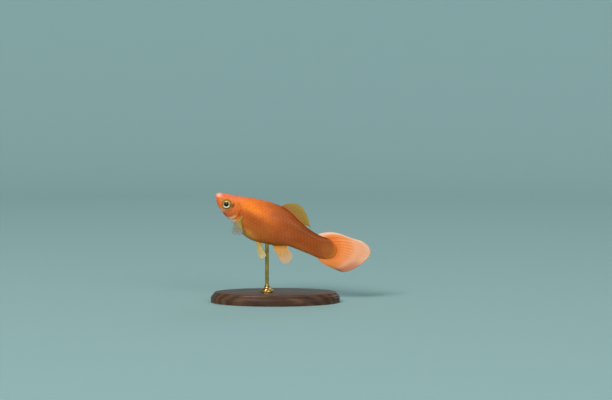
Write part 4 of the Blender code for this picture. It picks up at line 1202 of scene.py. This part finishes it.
# The back's dusky line and two olive ones along the belly: colour and strength, then where the line starts
# and where it is full, from the front, from the rear and round the body
LINES = (
    ("#5f2a14", 0.66, (0.36, 0.54), (1.4, 1.2), (0.20, 0.02)),
    ("#8a6f2a", 0.80, (0.20, 0.32), (0.70, 0.48), (0.84, 0.98)),
    ("#b08f34", 0.75, (0.22, 0.34), (1.4, 1.2), (0.82, 0.97)),
)
BARE_RESIN, MOTTLE = "#ea7430", 2.38 * MM
print(len(PATCHES), "soft patches and", len(LINES), "lines will be painted")


# %% Helpers that paint
SMOOTHLY, TIMES = {"interpolation_type": "SMOOTHSTEP"}, {"operation": "MULTIPLY"}


def airbrush(tree, under, over, value, low, high, most=1.0):
    """Lays one colour over another: none of it where a value is at low, and the most where it is at high."""
    share = add(tree, "ShaderNodeMapRange", SMOOTHLY, {0: value, 1: low, 2: high, 3: 0.0, 4: most})
    return add(tree, "ShaderNodeMix", {"data_type": "RGBA"}, {0: share, 6: under, 7: over}).outputs[2]


def overlap(tree, *ramps):
    """The share where smooth ramps of values meet, each a value, where it starts and where it is full."""
    sockets = [{0: value, 1: low, 2: high} for value, low, high in ramps]
    shares = [add(tree, "ShaderNodeMapRange", SMOOTHLY, inputs) for inputs in sockets]
    together = shares[0]
    for share in shares[1:]:
        together = add(tree, "ShaderNodeMath", TIMES, {0: together, 1: share})
    return together


def fish_coordinates(tree):
    """Where a point lies along and above the fish's axis, in per cent of its length, and its own place."""
    here = add(tree, "ShaderNodeTexCoord").outputs["Object"]
    origin = TILT.T @ LIFT / PER_CENT
    settings = {"Scale": (1 / PER_CENT,) * 3, "Rotation": (0, -NOSE_UP, 0), "Location": tuple(-origin)}
    return add(tree, "ShaderNodeMapping", None, {"Vector": here, **settings}), here


def paint_markings(tree):
    """The markings' colour, and the coordinates of the points in metres."""
    at, here = fish_coordinates(tree)
    colour = BARE_RESIN
    for _, code, middle, half, lean, softness, strength in PATCHES:
        placed = {
            "Vector": at,
            "Location": (middle[0], 0, middle[1]),
            "Rotation": (0, math.radians(lean), 0),
            "Scale": (half[0], 1000, half[1]),
        }
        local = add(tree, "ShaderNodeMapping", {"vector_type": "TEXTURE"}, placed)
        reach = add(tree, "ShaderNodeVectorMath", {"operation": "LENGTH"}, {0: local}).outputs["Value"]
        colour = airbrush(tree, colour, code, reach, 1, 1 - softness, strength)
    lie = add(tree, "ShaderNodeSeparateXYZ", None, {0: add(tree, "ShaderNodeUVMap", {"uv_map": "Lie"})})
    place, girth = lie.outputs[0], lie.outputs[1]
    for code, most, front, rear, around in LINES:
        share = overlap(tree, (place, *front), (place, *rear), (girth, *around))
        colour = airbrush(tree, colour, code, share, 0.0, 1.0, most)
    # The tail fin's orange creeps onto the end of the flesh
    colour = airbrush(tree, colour, "#d0702c", place, 0.955, 1.0)
    mottle = add(tree, "ShaderNodeTexNoise", None, {"Vector": here, "Scale": 1 / MOTTLE, "Detail": 4.0})
    return airbrush(tree, colour, "#6e3418", mottle, 0.42, 0.75, 0.18), here


# %% Paint the skin and the scales
# The skin's fine grain, and the step between a plate's growth rings, which are really about 0.04 mm apart and
# are drawn three times as coarse, so that they show
SKIN_GRAIN, GROWTH_RING = 0.286 * MM, 0.12 * MM


def skin_material(name, scaled):
    """Airbrushed resin under a satin varnish: softly glossy, with a little light sinking in."""
    gloss = {"Roughness": 0.48, "Specular_IOR_Level": 0.22, "Specular_Tint": linear("#ffb07a")}
    varnish = {"Coat_Weight": 0.12, "Coat_Roughness": 0.18}
    glow = {"Subsurface_Weight": 0.12, "Subsurface_Radius": (1.0, 0.35, 0.15), "Subsurface_Scale": 1.2 * MM}
    material, tree, shader = new_material(name, **gloss, **varnish, **glow)
    colour, here = paint_markings(tree)
    height = add(tree, "ShaderNodeTexNoise", None, {"Vector": here, "Scale": 1 / SKIN_GRAIN, "Detail": 3.0})
    if scaled:
        # Fine growth rings run round each plate, and its rear edge carries dusky pigment
        own = add(tree, "ShaderNodeUVMap", {"uv_map": "Plate"})
        tint = add(tree, "ShaderNodeSeparateXYZ", None, {0: add(tree, "ShaderNodeUVMap", {"uv_map": "Tint"})})
        centred = add(tree, "ShaderNodeMapping", None, {"Vector": own, "Location": (0.0, -0.5, 0.0)})
        radius = add(tree, "ShaderNodeVectorMath", {"operation": "LENGTH"}, {0: centred}).outputs["Value"]
        ring_turns = 2 * math.pi * PLATE_LENGTH / GROWTH_RING
        turns = add(tree, "ShaderNodeMath", TIMES, {0: radius, 1: ring_turns})
        rings = add(tree, "ShaderNodeMath", {"operation": "SINE"}, {0: turns})
        height = add(tree, "ShaderNodeMath", {"operation": "MULTIPLY_ADD"}, {0: rings, 1: 0.20, 2: height})
        colour = airbrush(tree, colour, "#7a3516", radius, 0.80, 0.99, 0.16)
        colour = airbrush(tree, colour, "#ffa75c", radius, 0.75, 0.40, 0.08)
        colour = airbrush(tree, colour, "#8c4522", tint, 0.0, 1.0, 0.10)
    bump = add(tree, "ShaderNodeBump", None, {"Height": height, "Strength": 0.20, "Distance": 0.03 * MM})
    tree.links.new(bump.outputs["Normal"], shader.inputs["Normal"])
    tree.links.new(colour, shader.inputs["Base Color"])
    return material


skin.data.materials.append(skin_material("airbrushed resin skin", scaled=False))
scales.data.materials.append(skin_material("airbrushed resin scales", scaled=True))
print("a plate has", round(PLATE_LENGTH / GROWTH_RING), "growth rings")

# %% [markdown]
# ## The eye's paint
# From the middle out come the black lens, a thin bright gold ring, the iris, which is white below, a silvery
# white with a painted highlight of light from below, and golden above, and an olive gold rim with a dark
# edge.
# A model's eye is painted so behind clear resin, and its clear coat gives the wet highlight.

# %% Paint the eyes
# Painted glass has the highest gloss of all the pieces, and a little metal powder in the iris. The limits of
# its colours are shares of the eye's radius
gloss = {"Roughness": 0.30, "Metallic": 0.2, "Specular_IOR_Level": 0.2}
clear_coat = {"Coat_Weight": 0.45, "Coat_Roughness": 0.02}
eye_paint, tree, shader = new_material("painted glass eye", **gloss, **clear_coat)
iris = add(tree, "ShaderNodeUVMap", {"uv_map": "Iris"})
shift = (-PUPIL_FORWARD / EYE_RADIUS, -PUPIL_UP / EYE_RADIUS, 0)
centred = add(tree, "ShaderNodeMapping", None, {"Vector": iris, "Location": shift})
radius = add(tree, "ShaderNodeVectorMath", {"operation": "LENGTH"}, {0: centred}).outputs["Value"]
# The iris's white, silvery and with a painted highlight of light from below, lies level with the ground, so
# the fish's tilt is turned back for it
level = add(tree, "ShaderNodeMapping", None, {"Vector": centred, "Rotation": (0, 0, NOSE_UP)})
above = add(tree, "ShaderNodeSeparateXYZ", None, {0: level}).outputs[1]
streaks = add(tree, "ShaderNodeTexNoise", None, {"Vector": iris, "Scale": 9.0, "Detail": 4.0})
edge_share = PUPIL_RADIUS / EYE_RADIUS
# Silvery white with a painted highlight below, olive gold above
colour = airbrush(tree, "#fbfbff", "#a98f3f", above, -0.56, -0.16)
colour = airbrush(tree, colour, "#7c6a3c", streaks, 0.45, 0.7, 0.25)
colour = airbrush(tree, colour, "#d9b25a", radius, edge_share + 0.09, edge_share + 0.02)
colour = airbrush(tree, colour, "#94762c", radius, 0.72, 0.84)
colour = airbrush(tree, colour, "#46300f", radius, 0.90, 1.00)
colour = airbrush(tree, colour, "#07090b", radius, edge_share + 0.012, edge_share - 0.012)
tree.links.new(colour, shader.inputs["Base Color"])
for eye in eyes.values():
    eye.data.materials.append(eye_paint)
print("the pupil is", round(100 * edge_share), "per cent of the eye's width")

# %% [markdown]
# ## The fins' paint
# The fins are thin tinted resin, which lets some light through, more of it towards the edge. The back's is
# olive, the vent's is honey yellow, and those of the breast are nearly clear. The tail is orange at its root
# and fades to a pale peach. The rays are a little darker and closer, with fine joints that show as a bump.


# %% Paint the fins
FIN_SPECK, RAY_JOINTS = 1.43 * MM, 27


def fin_material(name, stops, ray_colour, clear, tints=()):
    """Tinted casting resin, satin and a little see-through.

    Stops are the shares of the way out with their colours, and clear is how opaque the root and the edge are.
    A tint is a colour, its strength, and where it starts and is full: across the rays and on the way out."""
    satin = {"Roughness": 0.40, "Specular_IOR_Level": 0.35, "Coat_Weight": 0.15, "Coat_Roughness": 0.2}
    glow = {"Subsurface_Weight": 0.15, "Subsurface_Radius": (1.0, 0.6, 0.35), "Subsurface_Scale": 0.8 * MM}
    material, tree, shader = new_material(name, **satin, **glow)
    way = add(tree, "ShaderNodeSeparateXYZ", None, {0: add(tree, "ShaderNodeUVMap", {"uv_map": "Ray"})})
    across, out = way.outputs[0], way.outputs[1]
    colour = stops[0][1]
    for (before, _), (after, code) in zip(stops, stops[1:]):
        colour = airbrush(tree, colour, code, out, before, after)
    for code, most, side, way_out in tints:
        share = overlap(tree, (across, *side), (out, *way_out))
        colour = airbrush(tree, colour, code, share, 0.0, 1.0, most)
    on_ray = add(tree, "ShaderNodeSeparateXYZ", None, {0: add(tree, "ShaderNodeUVMap", {"uv_map": "Ridge"})})
    colour = airbrush(tree, colour, ray_colour, on_ray, 0.15, 0.8, 0.35)
    here = add(tree, "ShaderNodeTexCoord").outputs["Object"]
    speck = add(tree, "ShaderNodeTexNoise", None, {"Vector": here, "Scale": 1 / FIN_SPECK, "Detail": 4.0})
    colour = airbrush(tree, colour, ray_colour, speck, 0.5, 0.75, 0.15)
    membrane = add(tree, "ShaderNodeMapRange", None, {0: out, 1: 0.0, 2: 1.0, 3: clear[0], 4: clear[1]})
    denser = {"operation": "MULTIPLY_ADD", "use_clamp": True}
    opaque = add(tree, "ShaderNodeMath", denser, {0: on_ray, 1: 0.18, 2: membrane})
    tree.links.new(opaque.outputs[0], shader.inputs["Alpha"])
    turns = add(tree, "ShaderNodeMath", TIMES, {0: out, 1: 2 * math.pi * RAY_JOINTS})
    joints = add(tree, "ShaderNodeMath", {"operation": "SINE"}, {0: turns})
    height = add(tree, "ShaderNodeMath", TIMES, {0: joints, 1: on_ray})
    bump = add(tree, "ShaderNodeBump", None, {"Height": height, "Strength": 0.3, "Distance": 0.03 * MM})
    tree.links.new(bump.outputs["Normal"], shader.inputs["Normal"])
    tree.links.new(colour, shader.inputs["Base Color"])
    return material


# %% Mix the fins' tints
olive_stops = ((0.0, "#a36215"), (0.35, "#967212"), (1.0, "#a5893a"))
olive_fin = fin_material("olive tinted resin", olive_stops, "#8a6c22", (0.96, 0.84))
vent_stops = ((0.0, "#df9332"), (0.35, "#e0a762"), (1.0, "#e8c2a4"))
vent_fin = fin_material("honey tinted resin", vent_stops, "#b4873e", (0.93, 0.42))
belly_stops = ((0.0, "#b8922e"), (0.4, "#c6b268"), (1.0, "#d6c8a2"))
belly_fin = fin_material("pale olive tinted resin", belly_stops, "#a58c42", (0.92, 0.42))
breast_stops = ((0.0, "#cda53a"), (0.30, "#c2aa55"), (0.60, "#8e897c"), (1.0, "#8d8782"))
breast_fin = fin_material("nearly clear resin", breast_stops, "#8f8348", (0.93, 0.20))
tail_stops = ((0.0, "#f27a26"), (0.27, "#ff944e"), (0.66, "#ffb48e"), (1.0, "#ffc0a2"))
# The tail's lower rear corner is dusky, its lower root is a deeper orange, and its uppermost rays are pale
tail_tints = (
    ("#c87a62", 0.80, (0.66, 0.30), (0.45, 0.85)),
    ("#ec8a40", 0.85, (0.42, 0.10), (0.85, 0.35)),
    ("#ffceb4", 0.85, (0.88, 0.98), (-1.0, -0.5)),
)
tail_resin = fin_material("peach tinted resin", tail_stops, "#e2722c", (0.99, 0.97), tail_tints)
paints = {"dorsal": olive_fin, "anal": vent_fin, "tail": tail_resin}
paints |= {"pectoral": breast_fin, "pelvic": belly_fin}
for name, fin in fins.items():
    fin.data.materials.append(paints[name.partition("_")[0]])
print("painted", ", ".join(fins))

# %% [markdown]
# ## Walnut and brass
# Walnut is dark brown with growth bands a few millimetres wide, streaks along the board and fine open pores,
# under a satin lacquer. The real pores are about 0.15 mm wide, and here they are drawn twice as wide, so that
# the render can show them. The rod is polished brass, a warm metal, with the faint rings that the turning
# tool leaves.

# %% Finish the base
GROWTH_BAND, DARK_STREAK, PORE_STEP = 3.27 * MM, 3.85 * MM, 0.385 * MM
lacquer = {"Roughness": 0.45, "Specular_IOR_Level": 0.35, "Coat_Weight": 0.15, "Coat_Roughness": 0.2}
walnut, tree, shader = new_material("lacquered walnut", **lacquer)
here = add(tree, "ShaderNodeTexCoord").outputs["Object"]
stretched = add(tree, "ShaderNodeMapping", None, {"Vector": here, "Scale": (0.12, 1.0, 1.0)})
streaks = {"Vector": stretched, "Scale": 1 / DARK_STREAK, "Detail": 6.0, "Distortion": 0.6}
streak = add(tree, "ShaderNodeTexNoise", None, streaks)
# A wave texture's bands are a tenth of pi apart at a scale of 1
bands = {"Vector": stretched, "Scale": math.pi / 10 / GROWTH_BAND, "Distortion": 7.0, "Detail": 4.0}
bands["Detail Scale"] = 1.1
growth = add(tree, "ShaderNodeTexWave", {"bands_direction": "Y"}, bands).outputs["Fac"]
long_cells = add(tree, "ShaderNodeMapping", None, {"Vector": here, "Scale": (0.10, 1.0, 1.0)})
cells = add(tree, "ShaderNodeTexNoise", None, {"Vector": long_cells, "Scale": 1 / PORE_STEP, "Detail": 2.0})
pores = add(tree, "ShaderNodeMapRange", SMOOTHLY, {0: cells, 1: 0.60, 2: 0.70})
colour = airbrush(tree, "#452a1b", "#634029", growth, 0.0, 1.0)
colour = airbrush(tree, colour, "#2a170e", streak, 0.40, 0.68, 0.65)
colour = airbrush(tree, colour, "#160b06", pores, 0.0, 1.0, 0.8)
tree.links.new(colour, shader.inputs["Base Color"])
sunk = add(tree, "ShaderNodeMath", TIMES, {0: pores, 1: -1.0})
bump = add(tree, "ShaderNodeBump", None, {"Height": sunk, "Strength": 0.35, "Distance": 0.08 * MM})
tree.links.new(bump.outputs["Normal"], shader.inputs["Normal"])
base.data.materials.append(walnut)
print("the board is lacquered walnut")

# %% Finish the rod
TOOL_RING, WORN_PATCH = 0.06 * MM, 3.33 * MM
brass, tree, shader = new_material("turned brass", Roughness=0.26, Metallic=1.0)
here = add(tree, "ShaderNodeTexCoord").outputs["Object"]
height = add(tree, "ShaderNodeSeparateXYZ", None, {0: here}).outputs[2]
turns = add(tree, "ShaderNodeMath", TIMES, {0: height, 1: 2 * math.pi / TOOL_RING})
rings = add(tree, "ShaderNodeMath", {"operation": "SINE"}, {0: turns})
bump = add(tree, "ShaderNodeBump", None, {"Height": rings, "Strength": 0.06, "Distance": 0.005 * MM})
tree.links.new(bump.outputs["Normal"], shader.inputs["Normal"])
worn = add(tree, "ShaderNodeTexNoise", None, {"Vector": here, "Scale": 1 / WORN_PATCH, "Detail": 4.0})
tree.links.new(airbrush(tree, "#c8a355", "#8f6d33", worn, 0.35, 0.75, 0.6), shader.inputs["Base Color"])
rod.data.materials.append(brass)
print("the rod is turned brass")

# %% [markdown]
# ## Every piece on its body
# The model has no joints, so every piece rides on one body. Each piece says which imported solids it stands
# for, so that a simulation still collides with those, and which finish of the record it takes.

# %% Ride, replace and finish
FLESH = ("head", "lower_jaw", "gill_cover_left", "gill_cover_right", "trunk", "tail_stalk")
PIECES = [
    (skin, "skin", FLESH),
    (scales, "skin", ()),
    (eyes["left"], "eye", ("eye_left",)),
    (eyes["right"], "eye", ("eye_right",)),
    (base, "stand_wood", ("stand_base",)),
    (rod, "stand_rod", ("stand_rod",)),
]
for name, fin in fins.items():
    kind, _, word = name.partition("_")
    node = f"{kind}_fin_{word}" if word else f"{kind}_fin"
    PIECES.append((fin, "orange_fin" if kind == "tail" else "yellow_fin", (node,)))
for piece, slot, nodes in PIECES:
    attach(piece, "root")
    if nodes:
        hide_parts(*nodes)
print("pieces:", len(PIECES), "with", sum(count(piece) for piece, _, _ in PIECES), "triangles in all")
